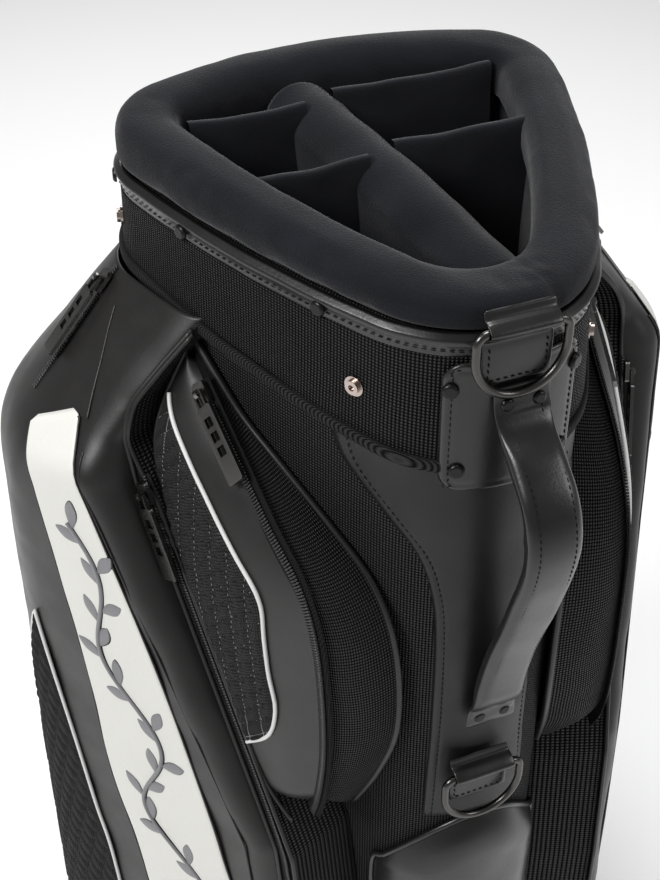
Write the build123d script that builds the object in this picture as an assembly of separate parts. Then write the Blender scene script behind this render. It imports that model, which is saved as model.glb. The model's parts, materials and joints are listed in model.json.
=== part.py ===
from build123d import *
import math
import os

# Golf staff bag.  Millimetres, +Z up, origin on the ground under the middle of the tube.
# -Y is the spine side with the handle and the rings, +Y the front with the ball pocket.

# ---- the tube's outline: a rounded triangle of tangent arcs ----
FRONT_CORNER_X = 101
FRONT_CORNER_Y = 45
FRONT_CORNER_R = 50
SPINE_CENTRE_Y = -119
SPINE_R = 80
SIDE_R = 730
FRONT_R = 340

# ---- heights; the mouth rises towards the front, so each level has a slope along Y ----
PAD_T = 6
TRAY_FLOOR_T = 6
TRAY_TOP = 60
TRIM_LEVEL = 836
TRIM_SLOPE = 0.043
RIM_LEVEL = 869
RIM_SLOPE = 0.088
SKIRT_LEVEL = 767
SKIRT_SLOPE = 0.164
THROAT_BOTTOM = 735
REF = 850

# ---- walls, as distances out from the outline ----
SHELL_OUT = -2
SHELL_IN = -7
LINER_OUT = -7.3
LINER_IN = -9.3
THROAT_IN = -31
CUFF_OUT = -0.5
CUFF_IN = -32.5
CUFF_ROUND = 14
TRIM_T = 15
COLLAR_IN = -1.7
COLLAR_OUT = 1.8
HEM_OUT = 4
PATCH_IN = 4.3
PATCH_OUT = 6.3
GAP = 0.3

# ---- pockets ----
POCKET_GAP = 1.5
SIDE_DEPTH = 58
GARMENT_LEDGE = 58
GARMENT_DEPTH = 95
GARMENT_FRONT_X = 96
BALL_DEPTH = 78
BALL_TOP = 540
VALUABLES_DEPTH = 42
VALUABLES_BOTTOM = 556
VALUABLES_TOP = 742
POCKET_BOTTOM = 72

# ---- rings, handle and zips ----
RING_W = 62
RING_H = 49
WIRE_R = 2.6
RING_BAR_Y = -211.5
RING_X = -5
UPPER_BAR_Z = REF - 13
LOWER_BAR_Z = REF - 370
STRAP_W = 44
HANDLE_W = 38
HANDLE_T = 13
RIVET_R = 5
RIVET_H = 2.6
SNAP_R = 6.5
SLIDER_L = 16
SLIDER_W = 11
PULL_L = 62
PULL_W = 14
PULL_T = 2.6
CHAIN_W = 7
CHAIN_T = 2.4

MIRROR = Plane.YZ


def circle_centre(c1, r1, c2, r2, big_r):
    """Centre of the arc of radius big_r that both corner circles touch from inside."""
    dx = c2[0] - c1[0]
    dy = c2[1] - c1[1]
    span = math.hypot(dx, dy)
    reach1 = big_r - r1
    reach2 = big_r - r2
    along = (reach1**2 - reach2**2 + span**2) / (2 * span)
    away = math.sqrt(reach1**2 - along**2)
    ux = dx / span
    uy = dy / span
    return (c1[0] + ux * along + uy * away, c1[1] + uy * along - ux * away)


CORNER = (FRONT_CORNER_X, FRONT_CORNER_Y)
SPINE = (0, SPINE_CENTRE_Y)
FRONT_C = circle_centre((-FRONT_CORNER_X, FRONT_CORNER_Y), FRONT_CORNER_R, CORNER, FRONT_CORNER_R, FRONT_R)
SIDE_C = circle_centre(CORNER, FRONT_CORNER_R, SPINE, SPINE_R, SIDE_R)


def heading(centre, point):
    """Angle from +Y towards +X of the line from centre to point."""
    return math.atan2(point[0] - centre[0], point[1] - centre[1])


T_FRONT = heading(FRONT_C, CORNER)
T_CORNER = heading(SIDE_C, CORNER)
T_SIDE = heading(SIDE_C, SPINE)


def arc_at(t):
    """The arc that the outline follows at normal angle t (0 front, pi spine), right half."""
    if t < T_FRONT:
        return FRONT_C, FRONT_R
    if t < T_CORNER:
        return CORNER, FRONT_CORNER_R
    if t < T_SIDE:
        return SIDE_C, SIDE_R
    return SPINE, SPINE_R


def on_outline(t, out=0.0):
    """Point at normal angle t, out mm outside the outline; t may be negative for the left half."""
    side = -1 if t < 0 else 1
    centre, radius = arc_at(abs(t))
    x = centre[0] + (radius + out) * math.sin(abs(t))
    y = centre[1] + (radius + out) * math.cos(abs(t))
    return side * x, y


def outline(out, z=0.0):
    """Closed face of the rounded triangle, out mm outside the outline, at height z."""
    ends = [-T_SIDE, -T_CORNER, -T_FRONT, T_FRONT, T_CORNER, T_SIDE]
    edges = []
    for start, end in zip(ends, ends[1:]):
        mid = (start + end) / 2
        pts = [(*on_outline(t, out), z) for t in (start, mid, end)]
        edges.append(ThreePointArc(*pts))
    back = (0, SPINE_CENTRE_Y - SPINE_R - out, z)
    edges.append(ThreePointArc((*on_outline(T_SIDE, out), z), back, (*on_outline(-T_SIDE, out), z)))
    return make_face(edges)


def prism(out, low, high):
    return extrude(outline(out, low), amount=high - low)


def tube(outer, inner, low, high):
    return prism(outer, low, high) - prism(inner, low - 1, high + 1)


def level(height, slope):
    """A plane whose height at y = 0 is height, rising by slope towards the front."""
    return Plane(origin=(0, 0, height), x_dir=(1, 0, 0), z_dir=(0, -slope, 1))


def above(shape, height, slope=0.0):
    return split(shape, bisect_by=level(height, slope), keep=Keep.TOP)


def below(shape, height, slope=0.0):
    return split(shape, bisect_by=level(height, slope), keep=Keep.BOTTOM)


def barrel(sections):
    """Ruled solid through the outline at each (out, z)."""
    return loft([outline(out, z) for out, z in sections], ruled=True)


# ---- the flat side wall's own frame: u towards the spine, v outwards, z up (left side) ----
WALL_START = on_outline(-T_CORNER)
WALL_END = on_outline(-T_SIDE)
WALL_LEN = math.hypot(WALL_END[0] - WALL_START[0], WALL_END[1] - WALL_START[1])
WALL_U = ((WALL_END[0] - WALL_START[0]) / WALL_LEN, (WALL_END[1] - WALL_START[1]) / WALL_LEN)
WALL_V = (WALL_U[1], -WALL_U[0])
WALL = Plane(origin=(*WALL_START, REF), x_dir=(*WALL_U, 0), z_dir=(*WALL_V, 0))


def wall_face(points, depth):
    """Face in the side wall's frame from (u, z) points, at depth v."""
    corners = [WALL.from_local_coords((u, z, depth)) for u, z in points]
    return make_face(Polyline(*corners, close=True))


def wall_block(points, low, high, taper=0.0):
    return extrude(wall_face(points, low), amount=high - low, dir=(*WALL_V, 0), taper=taper)


def dome(point, out, radius=RIVET_R, height=RIVET_H):
    """Domed rivet head standing on point."""
    head = Plane(origin=point, z_dir=out) * extrude(Circle(radius), amount=height)
    rim = head.edges().group_by(lambda e: (e.center() - Vector(*point)).dot(Vector(*out).normalized()))[-1]
    return fillet(rim, height * 0.8)


def wall_rivets(places, out):
    """Rivets standing on the tube at (t, z) places."""
    heads = [dome((*on_outline(t, out), z), (math.sin(t), math.cos(t), 0)) for t, z in places]
    return Compound(children=heads)


def mirrored(shape):
    return mirror(shape, about=MIRROR)


parts = {}

# ================= base and tube =================
tray_top_of_floor = PAD_T + TRAY_FLOOR_T
parts["base_pad"] = prism(2, 0, PAD_T)
parts["base_tray"] = prism(4, PAD_T, TRAY_TOP) - prism(SHELL_OUT + GAP, tray_top_of_floor, TRAY_TOP + 1)
shell = tube(SHELL_OUT, SHELL_IN, tray_top_of_floor, 900)
parts["body_shell"] = below(shell, TRIM_LEVEL - GAP, TRIM_SLOPE)
parts["tube_lining"] = tube(LINER_OUT, LINER_IN, tray_top_of_floor, THROAT_BOTTOM - GAP)
throat = tube(LINER_OUT, THROAT_IN, THROAT_BOTTOM, 900)
parts["throat_frame"] = below(throat, TRIM_LEVEL - GAP, TRIM_SLOPE)

# ================= mouth =================
cuff = above(tube(CUFF_OUT, CUFF_IN, 700, 950), TRIM_LEVEL, TRIM_SLOPE)
cuff = below(cuff, RIM_LEVEL, RIM_SLOPE)
rim_edges = [e for e in cuff.edges() if e.center().Z > RIM_LEVEL + RIM_SLOPE * e.center().Y - 2]
parts["cuff"] = fillet(rim_edges, CUFF_ROUND)
trim = above(tube(3.5, COLLAR_IN, 700, 950), TRIM_LEVEL - TRIM_T, TRIM_SLOPE)
parts["cuff_trim"] = below(trim, TRIM_LEVEL, TRIM_SLOPE)
collar = above(tube(COLLAR_OUT, COLLAR_IN, 600, 950), SKIRT_LEVEL, SKIRT_SLOPE)
parts["collar_band"] = below(collar, TRIM_LEVEL - TRIM_T - GAP, TRIM_SLOPE)
hem = above(tube(HEM_OUT, COLLAR_OUT + GAP, 600, 950), SKIRT_LEVEL - 2, SKIRT_SLOPE)
parts["collar_hem"] = below(hem, SKIRT_LEVEL + 8, SKIRT_SLOPE)

# ================= dividers =================
HEAD_W = 40
HEAD_TURN = 9
HEAD_X = -5
HEAD_TOP = REF + 4
CROSS_T = 8
CROSS_Y = {"front": (40, 50), "back": (-34, -22)}
CROSS_TOP = REF - 8
SHEET_T = 3
inside = prism(CUFF_IN - 0.6, 0, 950)


def head_bar(width):
    """The centre divider's bar, turned a little off the bag's middle line."""
    bar = Box(width, 400, HEAD_TOP - THROAT_BOTTOM)
    return Pos(HEAD_X, -40, (THROAT_BOTTOM + HEAD_TOP) / 2) * (Rot(0, 0, HEAD_TURN) * bar)


head = head_bar(HEAD_W)
long_top = [e for e in head.edges() if e.length > 300 and e.center().Z > HEAD_TOP - 1]
parts["centre_divider"] = fillet(long_top, 18) & inside
sheet = Pos(0, -40, (tray_top_of_floor + THROAT_BOTTOM) / 2) * Box(SHEET_T, 400, THROAT_BOTTOM - tray_top_of_floor - 1)
parts["centre_sheet"] = sheet & prism(LINER_IN - 0.5, 0, 900)
CROSS_REACH = 200
for place, rows in CROSS_Y.items():
    for word, s, y in zip(("left", "right"), (-1, 1), rows):
        plate = Box(CROSS_REACH, CROSS_T, CROSS_TOP - THROAT_BOTTOM)
        plate = Pos(s * CROSS_REACH / 2, y, (THROAT_BOTTOM + CROSS_TOP) / 2) * plate
        parts[f"cross_divider_{place}_{word}"] = (plate & inside) - head_bar(HEAD_W + 1)

# ================= spine: leather panel, patch, handle, rings =================
SPINE_PANEL = [(-38, 430), (-38, 600), (-46, 645), (-84, 715), (-84, 790)]
panel_outline = SPINE_PANEL + [(-x, z) for x, z in reversed(SPINE_PANEL)]
panel_face = make_face(Polyline(*[(x, -250, z) for x, z in panel_outline], close=True))
panel = extrude(panel_face, amount=200, dir=(0, 1, 0)) & tube(0.8, COLLAR_IN, 400, 900)
parts["spine_panel"] = below(panel, SKIRT_LEVEL - 3, SKIRT_SLOPE)

patch_face = Pos(0, -250, REF - 82) * (Rot(90, 0, 0) * RectangleRounded(86, 92, 12))
parts["handle_patch"] = extrude(patch_face, amount=100, dir=(0, 1, 0)) & tube(PATCH_OUT, PATCH_IN, 600, 900)

PATCH_RIVET_T = (math.radians(153), math.radians(157))
patch_places = [(s * PATCH_RIVET_T[i], REF - (56, 112)[i]) for s in (-1, 1) for i in (0, 1)]
parts["patch_rivets"] = wall_rivets(patch_places, PATCH_OUT + GAP)
TRIM_RIVET_T = (25, 75, 109, 118)
trim_places = []
for angle in TRIM_RIVET_T:
    y = on_outline(math.radians(angle))[1]
    for s in (-1, 1):
        trim_places.append((s * math.radians(angle), TRIM_LEVEL + TRIM_SLOPE * y - 9))
parts["trim_rivets"] = wall_rivets(trim_places, 3.8)


def snap(t, z):
    """Press stud: a stepped cap with a raised ring."""
    out = (math.sin(t), math.cos(t), 0)
    plane = Plane(origin=(*on_outline(t, COLLAR_OUT + GAP), z), z_dir=out)
    base = extrude(Circle(SNAP_R), amount=1.6)
    ring = Pos(0, 0, 1.6) * extrude(Circle(SNAP_R - 2) - Circle(2), amount=2.4)
    return plane * (base + ring)


snaps = []
for angle in (40, 75, 120):
    y = on_outline(math.radians(angle))[1]
    mid = (SKIRT_LEVEL + SKIRT_SLOPE * y + TRIM_LEVEL + TRIM_SLOPE * y - TRIM_T) / 2
    snaps += [snap(s * math.radians(angle), mid) for s in (-1, 1)]
parts["collar_snaps"] = Compound(children=snaps)

# Handle: a padded strap bowed out from the spine; its ends lie flat on the leather.
HANDLE_MID = [(-214, 772), (-229, 757), (-246, 741), (-255, 722), (-255, 700), (-244, 662), (-224, 604)]
HANDLE_MID += [(-214, 566), (-211, 548)]


def band(mid, thick):
    """Closed (y, z) outline of a strap of the given thickness along a smooth middle line."""
    line = Spline(*[(y, z) for y, z in mid], tangents=[(-0.75, -0.66), (0.3, -0.95)])
    steps = 18
    left = []
    right = []
    for k in range(steps + 1):
        p = line @ (k / steps)
        d = line % (k / steps)
        half = thick / 2
        left.append((p.X - d.Y * half, p.Y + d.X * half))
        right.append((p.X + d.Y * half, p.Y - d.X * half))
    return left, right


inner_side, outer_side = band(HANDLE_MID, HANDLE_T)
wire = [
    Spline(*[(-HANDLE_W / 2, y, z) for y, z in inner_side]),
    Line((-HANDLE_W / 2, *inner_side[-1]), (-HANDLE_W / 2, *outer_side[-1])),
    Spline(*[(-HANDLE_W / 2, y, z) for y, z in reversed(outer_side)]),
    Line((-HANDLE_W / 2, *outer_side[0]), (-HANDLE_W / 2, *inner_side[0])),
]
handle = extrude(make_face(wire), amount=HANDLE_W, dir=(1, 0, 0))
TAB_Y = -205.8
TAB_T = 3
upper_tab = Pos(0, TAB_Y - TAB_T / 2, 780) * Box(HANDLE_W, TAB_T, 34)
lower_tab = Pos(0, -203.5 - TAB_T / 2, 538) * Box(HANDLE_W, TAB_T, 36)
root_block = Pos(0, TAB_Y - 4, 772) * Box(HANDLE_W, 8, 14)
foot_block = Pos(0, -208, 550) * Box(HANDLE_W, 10, 12)
parts["handle"] = handle + upper_tab + lower_tab + root_block + foot_block
rivet_out = (0, -1, 0)
parts["handle_rivets"] = Compound(
    children=[dome((x, TAB_Y - TAB_T, 785), rivet_out, 4.4) for x in (-10, 10)]
    + [dome((x, -203.5 - TAB_T, 530), rivet_out, 4.4) for x in (-9, 9)]
)


def arc_xz(start, end, radius, y, cx, cz):
    """Arc in an XZ plane about (cx, cz), through the point half way round."""
    a0 = math.atan2(start[2] - cz, start[0] - cx)
    a1 = math.atan2(end[2] - cz, end[0] - cx)
    if a1 > a0:
        a1 -= 2 * math.pi
    am = (a0 + a1) / 2
    mid = (cx + radius * math.cos(am), y, cz + radius * math.sin(am))
    return ThreePointArc(start, mid, end)


def d_ring(bar_z):
    """Closed D of round wire hanging from a straight bar along X."""
    half = RING_W / 2 - WIRE_R
    corner = 7
    drop = RING_H - corner - half - 2 * WIRE_R
    y = RING_BAR_Y
    pts = [
        (half - corner, y, bar_z),
        (half, y, bar_z - corner),
        (half, y, bar_z - drop - corner),
    ]
    path = [
        Line((-half + corner, y, bar_z), pts[0]),
        arc_xz(pts[0], pts[1], corner, y, half - corner, bar_z - corner),
        Line(pts[1], pts[2]),
        arc_xz(pts[2], (-half, y, pts[2][2]), half, y, 0, pts[2][2]),
        Line((-half, y, pts[2][2]), (-half, y, bar_z - corner)),
        arc_xz((-half, y, bar_z - corner), (-half + corner, y, bar_z), corner, y, -half + corner, bar_z - corner),
    ]
    section = Plane(origin=(0, y, bar_z), z_dir=(1, 0, 0)) * Circle(WIRE_R)
    return sweep(section, path=Wire(path))


def ring_strap(bar_z, drop, back_y):
    """Leather folded over the ring's bar, its two legs sewn together below the bar."""
    inner_r = WIRE_R + 0.5
    outer_r = inner_r + 2
    roll = Pos(0, RING_BAR_Y, bar_z) * (Rot(0, 90, 0) * Cylinder(outer_r, STRAP_W))
    leg_t = RING_BAR_Y + outer_r - back_y
    leg = Pos(0, (RING_BAR_Y + outer_r + back_y) / 2, bar_z - drop / 2) * Box(STRAP_W, abs(leg_t), drop)
    neck = Pos(0, (RING_BAR_Y + back_y) / 2, bar_z - 2) * Box(STRAP_W, abs(RING_BAR_Y - back_y), 2 * outer_r - 4)
    bore = Pos(0, RING_BAR_Y, bar_z) * (Rot(0, 90, 0) * Cylinder(inner_r, STRAP_W + 2))
    return roll + leg + neck - bore


parts["upper_ring"] = Pos(RING_X, 0, 0) * d_ring(UPPER_BAR_Z)
parts["lower_ring"] = Pos(RING_X, 0, 0) * d_ring(LOWER_BAR_Z)
parts["upper_ring_strap"] = Pos(RING_X, 0, 0) * ring_strap(UPPER_BAR_Z, 38, TAB_Y)
parts["lower_ring_strap"] = Pos(RING_X, 0, 0) * ring_strap(LOWER_BAR_Z, 30, -203.5)

# ================= back pad on the spine =================
BACK_PAD = [(-66, 120), (-66, 405), (-60, 414), (60, 414), (66, 405), (66, 120)]
pad_face = make_face(Polyline(*[(x, -260, z) for x, z in BACK_PAD], close=True))
parts["back_pad"] = extrude(pad_face, amount=200, dir=(0, 1, 0)) & tube(12, COLLAR_IN, 100, 500)

# ================= pockets =================
# Seams on the side wall, as (u, z) with z from the rim reference.
GARMENT_EDGE = [(54, -60), (54, -185), (177, -458), (190, -560), (190, -800)]
SIDE_SEAM = [(95, -80), (95, -112), (141, -156), (181, -186), (210, -213), (228, -246), (235, -291)]
SIDE_SEAM += [(234, -340), (219, -385), (205, -410)]
ZIP_LEDGE = 16
TOP_SLOPE = 0.79
GARMENT_TOP = -80
SIDE_TOP_SLOPE = 0.345
SIDE_TOP_Z = -100
SIDE_TOP_V = 12
FACE_TURN = 0.14
FACE_AT_CORNER = 97

body_room = prism(GAP, 0, 900)
collar_room = above(prism(HEM_OUT + 3, 600, 900), SKIRT_LEVEL - 4, SKIRT_SLOPE)


def wall_plane(u, v, z, across):
    """Plane through (u, v, z) of the wall frame whose normal has parts across = (u, v, z)."""
    out = WALL.from_local_coords((across[0], across[2], across[1])) - WALL.origin
    return Plane(origin=WALL.from_local_coords((u, z, v)), z_dir=out)


def shoulder(out):
    """The garment pocket's barrel: sloping top from under the collar, upright wall, tucked-in bottom."""
    high = REF + GARMENT_TOP
    low = POCKET_BOTTOM
    drop = (out - 8) / TOP_SLOPE
    return barrel([(out - 30, low), (out, low + 40), (out, high - drop), (8, high)])


def garment_envelope(out, edge_shift):
    """The shoulder barrel cut by the slanting back edge and the front seam."""
    edge = [(u + edge_shift, z) for u, z in GARMENT_EDGE]
    keep = [(-260, edge[0][1])] + edge + [(-260, edge[-1][1])]
    front_cut = Pos(-GARMENT_FRONT_X - 200, 100, 450) * Box(400, 900, 900)
    return shoulder(out) & wall_block(keep, -150, 200) & front_cut


face_plane = wall_plane(-10, FACE_AT_CORNER, -200, (FACE_TURN, 1, 0))
garment_top = split(garment_envelope(GARMENT_DEPTH + 8, 0), bisect_by=face_plane, keep=Keep.BOTTOM)
ledge_plane = wall_plane(0, GARMENT_LEDGE, -200, (0, 1, 0))
ledge = split(garment_envelope(GARMENT_LEDGE, ZIP_LEDGE), bisect_by=ledge_plane, keep=Keep.BOTTOM)
garment = ledge + garment_top
garment = garment - body_room - collar_room
parts["garment_pocket_left"] = garment
parts["garment_pocket_right"] = mirrored(garment)

side_front = [(u + ZIP_LEDGE + POCKET_GAP, z) for u, z in [(54, -80), (54, -185), (156, -410)]]
side = wall_block(side_front[::-1] + SIDE_SEAM, -20, SIDE_DEPTH, taper=4)
slant = wall_plane(60, SIDE_TOP_V, SIDE_TOP_Z, (0, 1, SIDE_TOP_SLOPE))
side = split(side, bisect_by=slant, keep=Keep.BOTTOM) - body_room - collar_room
parts["side_pocket_left"] = side
parts["side_pocket_right"] = mirrored(side)

PANEL_RIGHT = [(29, -200), (82, -340), (117, -440), (133, -483), (151, -560), (160, -690)]
PANEL_LEFT = [(74, -690), (45, -545), (28, -464), (18, -370), (4, -284), (-8, -200)]
PANEL_T = 2
panel_block = wall_block(PANEL_RIGHT + PANEL_LEFT, 40, 140)
above_face = wall_plane(-10, FACE_AT_CORNER + GAP, -200, (FACE_TURN, 1, 0))
panel_top = wall_plane(-10, FACE_AT_CORNER + GAP + PANEL_T, -200, (FACE_TURN, 1, 0))
side_panel = split(panel_block, bisect_by=above_face, keep=Keep.TOP)
side_panel = split(side_panel, bisect_by=panel_top, keep=Keep.BOTTOM)
parts["side_panel_left"] = side_panel
parts["side_panel_right"] = mirrored(side_panel)

FRONT_HALF = GARMENT_FRONT_X - POCKET_GAP
front_room = Pos(0, 200, 450) * Box(2 * FRONT_HALF, 400, 900)
ball_sections = [(BALL_DEPTH - 25, POCKET_BOTTOM), (BALL_DEPTH, POCKET_BOTTOM + 40)]
ball_sections += [(BALL_DEPTH, BALL_TOP - 70), (20, BALL_TOP)]
parts["ball_pocket"] = (barrel(ball_sections) & front_room) - body_room
valuables_sections = [(20, VALUABLES_BOTTOM), (VALUABLES_DEPTH, VALUABLES_BOTTOM + 20)]
valuables_sections += [(VALUABLES_DEPTH, VALUABLES_TOP - 60), (8, VALUABLES_TOP)]
parts["valuables_pocket"] = (barrel(valuables_sections) & front_room) - body_room - collar_room

# ================= zips: chain, slider and pull, each in the slider's own frame =================
PIN_Z = 5.4
PIN_R = 1.2
HOLE_R = 1.5
BASE_H = 3
SEAT = 3


def zip_chain(plane, before, after):
    """Coil and its tape, running from before mm behind the slider to after mm ahead of it."""
    return plane * (Pos((after - before) / 2, 0, -1.5) * Box(after + before, CHAIN_W, CHAIN_T))


def zip_slider(plane):
    """Slider body with the bridge that holds the pull's pin."""
    body = Pos(0, 0, BASE_H / 2) * Box(SLIDER_L, SLIDER_W, BASE_H)
    body = fillet(body.edges().filter_by(Axis.Z), 3)
    bridge = Pos(0, 0, BASE_H + 1.2) * Box(6, 3, 2.4) + Pos(0, 0, PIN_Z) * (Rot(90, 0, 0) * Cylinder(3, 3))
    hole = Pos(0, 0, PIN_Z) * (Rot(90, 0, 0) * Cylinder(HOLE_R, 8))
    bridge = bridge & (Pos(0, 0, BASE_H + 3) * Box(20, 20, 6))
    return plane * (body + bridge - hole)


def zip_pull(plane):
    """Framed tab with three square windows, forked at the top around the slider's bridge."""
    plate = Pos(9 + (PULL_L - 9) / 2, 0, PIN_Z) * Box(PULL_L - 9, PULL_W, PULL_T)
    plate = fillet(plate.edges().filter_by(Axis.Z), 2)
    for k in range(3):
        plate -= Pos(20 + 10 * k, 0, PIN_Z) * Box(6.5, 6.5, 4)
    for s in (-1, 1):
        plate += Pos(4.5, s * 3.3, PIN_Z) * Box(12, 2, 2.4)
    plate += Pos(0, 0, PIN_Z) * (Rot(90, 0, 0) * Cylinder(PIN_R, 7))
    return plane * plate


def on_wall(u, z, v, du, dz, dv, out):
    """Slider frame on the left side wall: x along (du, dv, dz), z along out, both in (u, v, z)."""
    origin = WALL.from_local_coords((u, z, v))
    along = WALL.from_local_coords((du, dz, dv)) - WALL.origin
    normal = WALL.from_local_coords((out[0], out[2], out[1])) - WALL.origin
    origin = origin + normal.normalized() * SEAT
    return Plane(origin=origin, x_dir=along, z_dir=normal)


def on_front(x, z, out):
    """Slider frame on an upright front surface out mm off the outline, running down."""
    t = math.asin((x - FRONT_C[0]) / (FRONT_R + out))
    normal = (math.sin(t), math.cos(t), 0)
    px, py = on_outline(t, out + SEAT)
    return Plane(origin=(px, py, z), x_dir=(0, 0, -1), z_dir=normal)




def on_shoulder(t, z):
    """Slider frame on the garment pocket's sloping top at normal angle t, running straight down it."""
    away = (math.sin(t), math.cos(t))
    normal = Vector(away[0], away[1], TOP_SLOPE).normalized()
    foot = Vector(*on_outline(t, 8 + TOP_SLOPE * (GARMENT_TOP - z)), REF + z)
    return Plane(origin=foot + normal * SEAT, x_dir=(away[0] * TOP_SLOPE, away[1] * TOP_SLOPE, -1), z_dir=normal)


SIDE_ZIP_Z = -124
side_zip_v = SIDE_TOP_V + SIDE_TOP_SLOPE * (SIDE_TOP_Z - SIDE_ZIP_Z)
frames = {
    "side": on_wall(84, SIDE_ZIP_Z, side_zip_v, 1, -0.74, 0.74 * SIDE_TOP_SLOPE, (0, 1, SIDE_TOP_SLOPE)),
    "garment": on_wall(66, -192, GARMENT_LEDGE, 123, -273, 0, (0, 1, 0)),
    "top": on_shoulder(math.radians(-87), -92),
}
runs = {"side": (8, 120), "garment": (12, 250), "top": (14, 90)}
for name, frame in frames.items():
    makers = {"zip": zip_chain(frame, *runs[name]), "slider": zip_slider(frame), "pull": zip_pull(frame)}
    for piece, shape in makers.items():
        parts[f"{name}_{piece}_left"] = shape
        parts[f"{name}_{piece}_right"] = mirrored(shape)

front_frames = {
    "ball": (on_front(62, BALL_TOP - 84, BALL_DEPTH), 12, 250),
    "valuables": (on_front(-58, VALUABLES_TOP - 70, VALUABLES_DEPTH), 8, 90),
}
for name, (frame, before, after) in front_frames.items():
    parts[f"{name}_zip"] = zip_chain(frame, before, after)
    parts[f"{name}_slider"] = zip_slider(frame)
    parts[f"{name}_pull"] = zip_pull(frame)

# ================= write =================
os.makedirs("parts", exist_ok=True)
for name, shape in parts.items():
    export_step(shape, f"parts/{name}.step")
for name, frame in {**frames, **{n: f[0] for n, f in front_frames.items()}}.items():
    print(name, "slider at", frame.origin, "along", frame.x_dir, "out", frame.z_dir)
print(len(parts), "nodes")
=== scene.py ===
"""Golf staff bag: the visible pieces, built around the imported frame.

Shapes are worked out in millimetres and scaled to metres when a mesh is made.
+Z is up, -Y is the spine with the handle and rings, +Y the front.
"""

import json
import logging
import math
from dataclasses import dataclass
from enum import Enum
from typing import Callable, Sequence

import bmesh
import bpy
from mathutils import Matrix, Vector, noise


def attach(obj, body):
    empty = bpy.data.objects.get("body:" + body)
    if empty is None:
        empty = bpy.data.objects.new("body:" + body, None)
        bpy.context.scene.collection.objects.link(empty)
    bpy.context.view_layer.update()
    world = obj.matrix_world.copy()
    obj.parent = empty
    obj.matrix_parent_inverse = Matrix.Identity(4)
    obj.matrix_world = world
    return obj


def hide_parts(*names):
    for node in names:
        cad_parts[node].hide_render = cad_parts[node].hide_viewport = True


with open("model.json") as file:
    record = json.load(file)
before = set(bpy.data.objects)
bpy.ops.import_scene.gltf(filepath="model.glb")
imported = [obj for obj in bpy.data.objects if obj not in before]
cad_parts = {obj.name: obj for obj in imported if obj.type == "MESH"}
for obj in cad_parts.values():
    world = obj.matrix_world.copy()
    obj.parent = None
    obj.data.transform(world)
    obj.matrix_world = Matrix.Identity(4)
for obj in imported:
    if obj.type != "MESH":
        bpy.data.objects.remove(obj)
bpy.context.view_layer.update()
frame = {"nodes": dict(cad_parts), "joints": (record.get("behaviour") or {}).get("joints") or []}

MM = 0.001
LOG = logging.getLogger("staff_bag")
Place = Callable[[float, float], Vector]
Pair = tuple[float, float]
Point = tuple[float, float, float]


# ------------------------------------------------------------------ finishes


class Pattern(Enum):
    """The fine relief of a finish."""

    GRAIN = "leather grain"
    WEAVE = "basket weave"
    MESH = "open mesh"
    PILE = "velour pile"
    RIB = "ribbed binding"
    THREAD = "twisted thread"
    BRUSHED = "brushed metal"
    FINE = "fine texture"


CLOTHS = (Pattern.WEAVE, Pattern.MESH, Pattern.RIB)


@dataclass(frozen=True)
class Finish:
    """One material: its colour, gloss, relief and wear.

    Attributes:
        name: The material's name.
        slot: The record's material slot that it belongs to. Not used.
        colour: Linear base colour.
        rough: Roughness of the unworn surface.
        pattern: Fine relief.
        pitch: Repeat of the relief in mm.
        relief: Strength of the relief, 0 to 1.
        on_cloth: True to lay the pattern on the piece's own UV map, in metres.
        metal: Metallic share.
        sheen: Weight of the fabric sheen.
        coat: Weight of the clear coat.
        mottling: How far broad patches vary in shade.
        wear: How far raised edges are rubbed pale.
        contrast: How much darker the hollows of the relief are and how much lighter its tops: on cloth,
            painted shade in the hollows and a painted highlight on the threads; on leather, metal and pile,
            their own grain tone.
        specular: Specular level of the bare surface, which falls to none in the hollows of a cloth.
    """

    name: str
    slot: str
    colour: Point
    rough: float
    pattern: Pattern
    pitch: float
    relief: float = 0.5
    metal: float = 0.0
    sheen: float = 0.0
    coat: float = 0.0
    mottling: float = 0.25
    wear: float = 0.0
    on_cloth: bool = False
    contrast: float = 0.5
    specular: float = 0.5

    def material(self) -> bpy.types.Material:
        """The finish as a node material, made once and shared."""
        found = bpy.data.materials.get(self.name)
        return found or Recipe(self).build()


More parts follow.
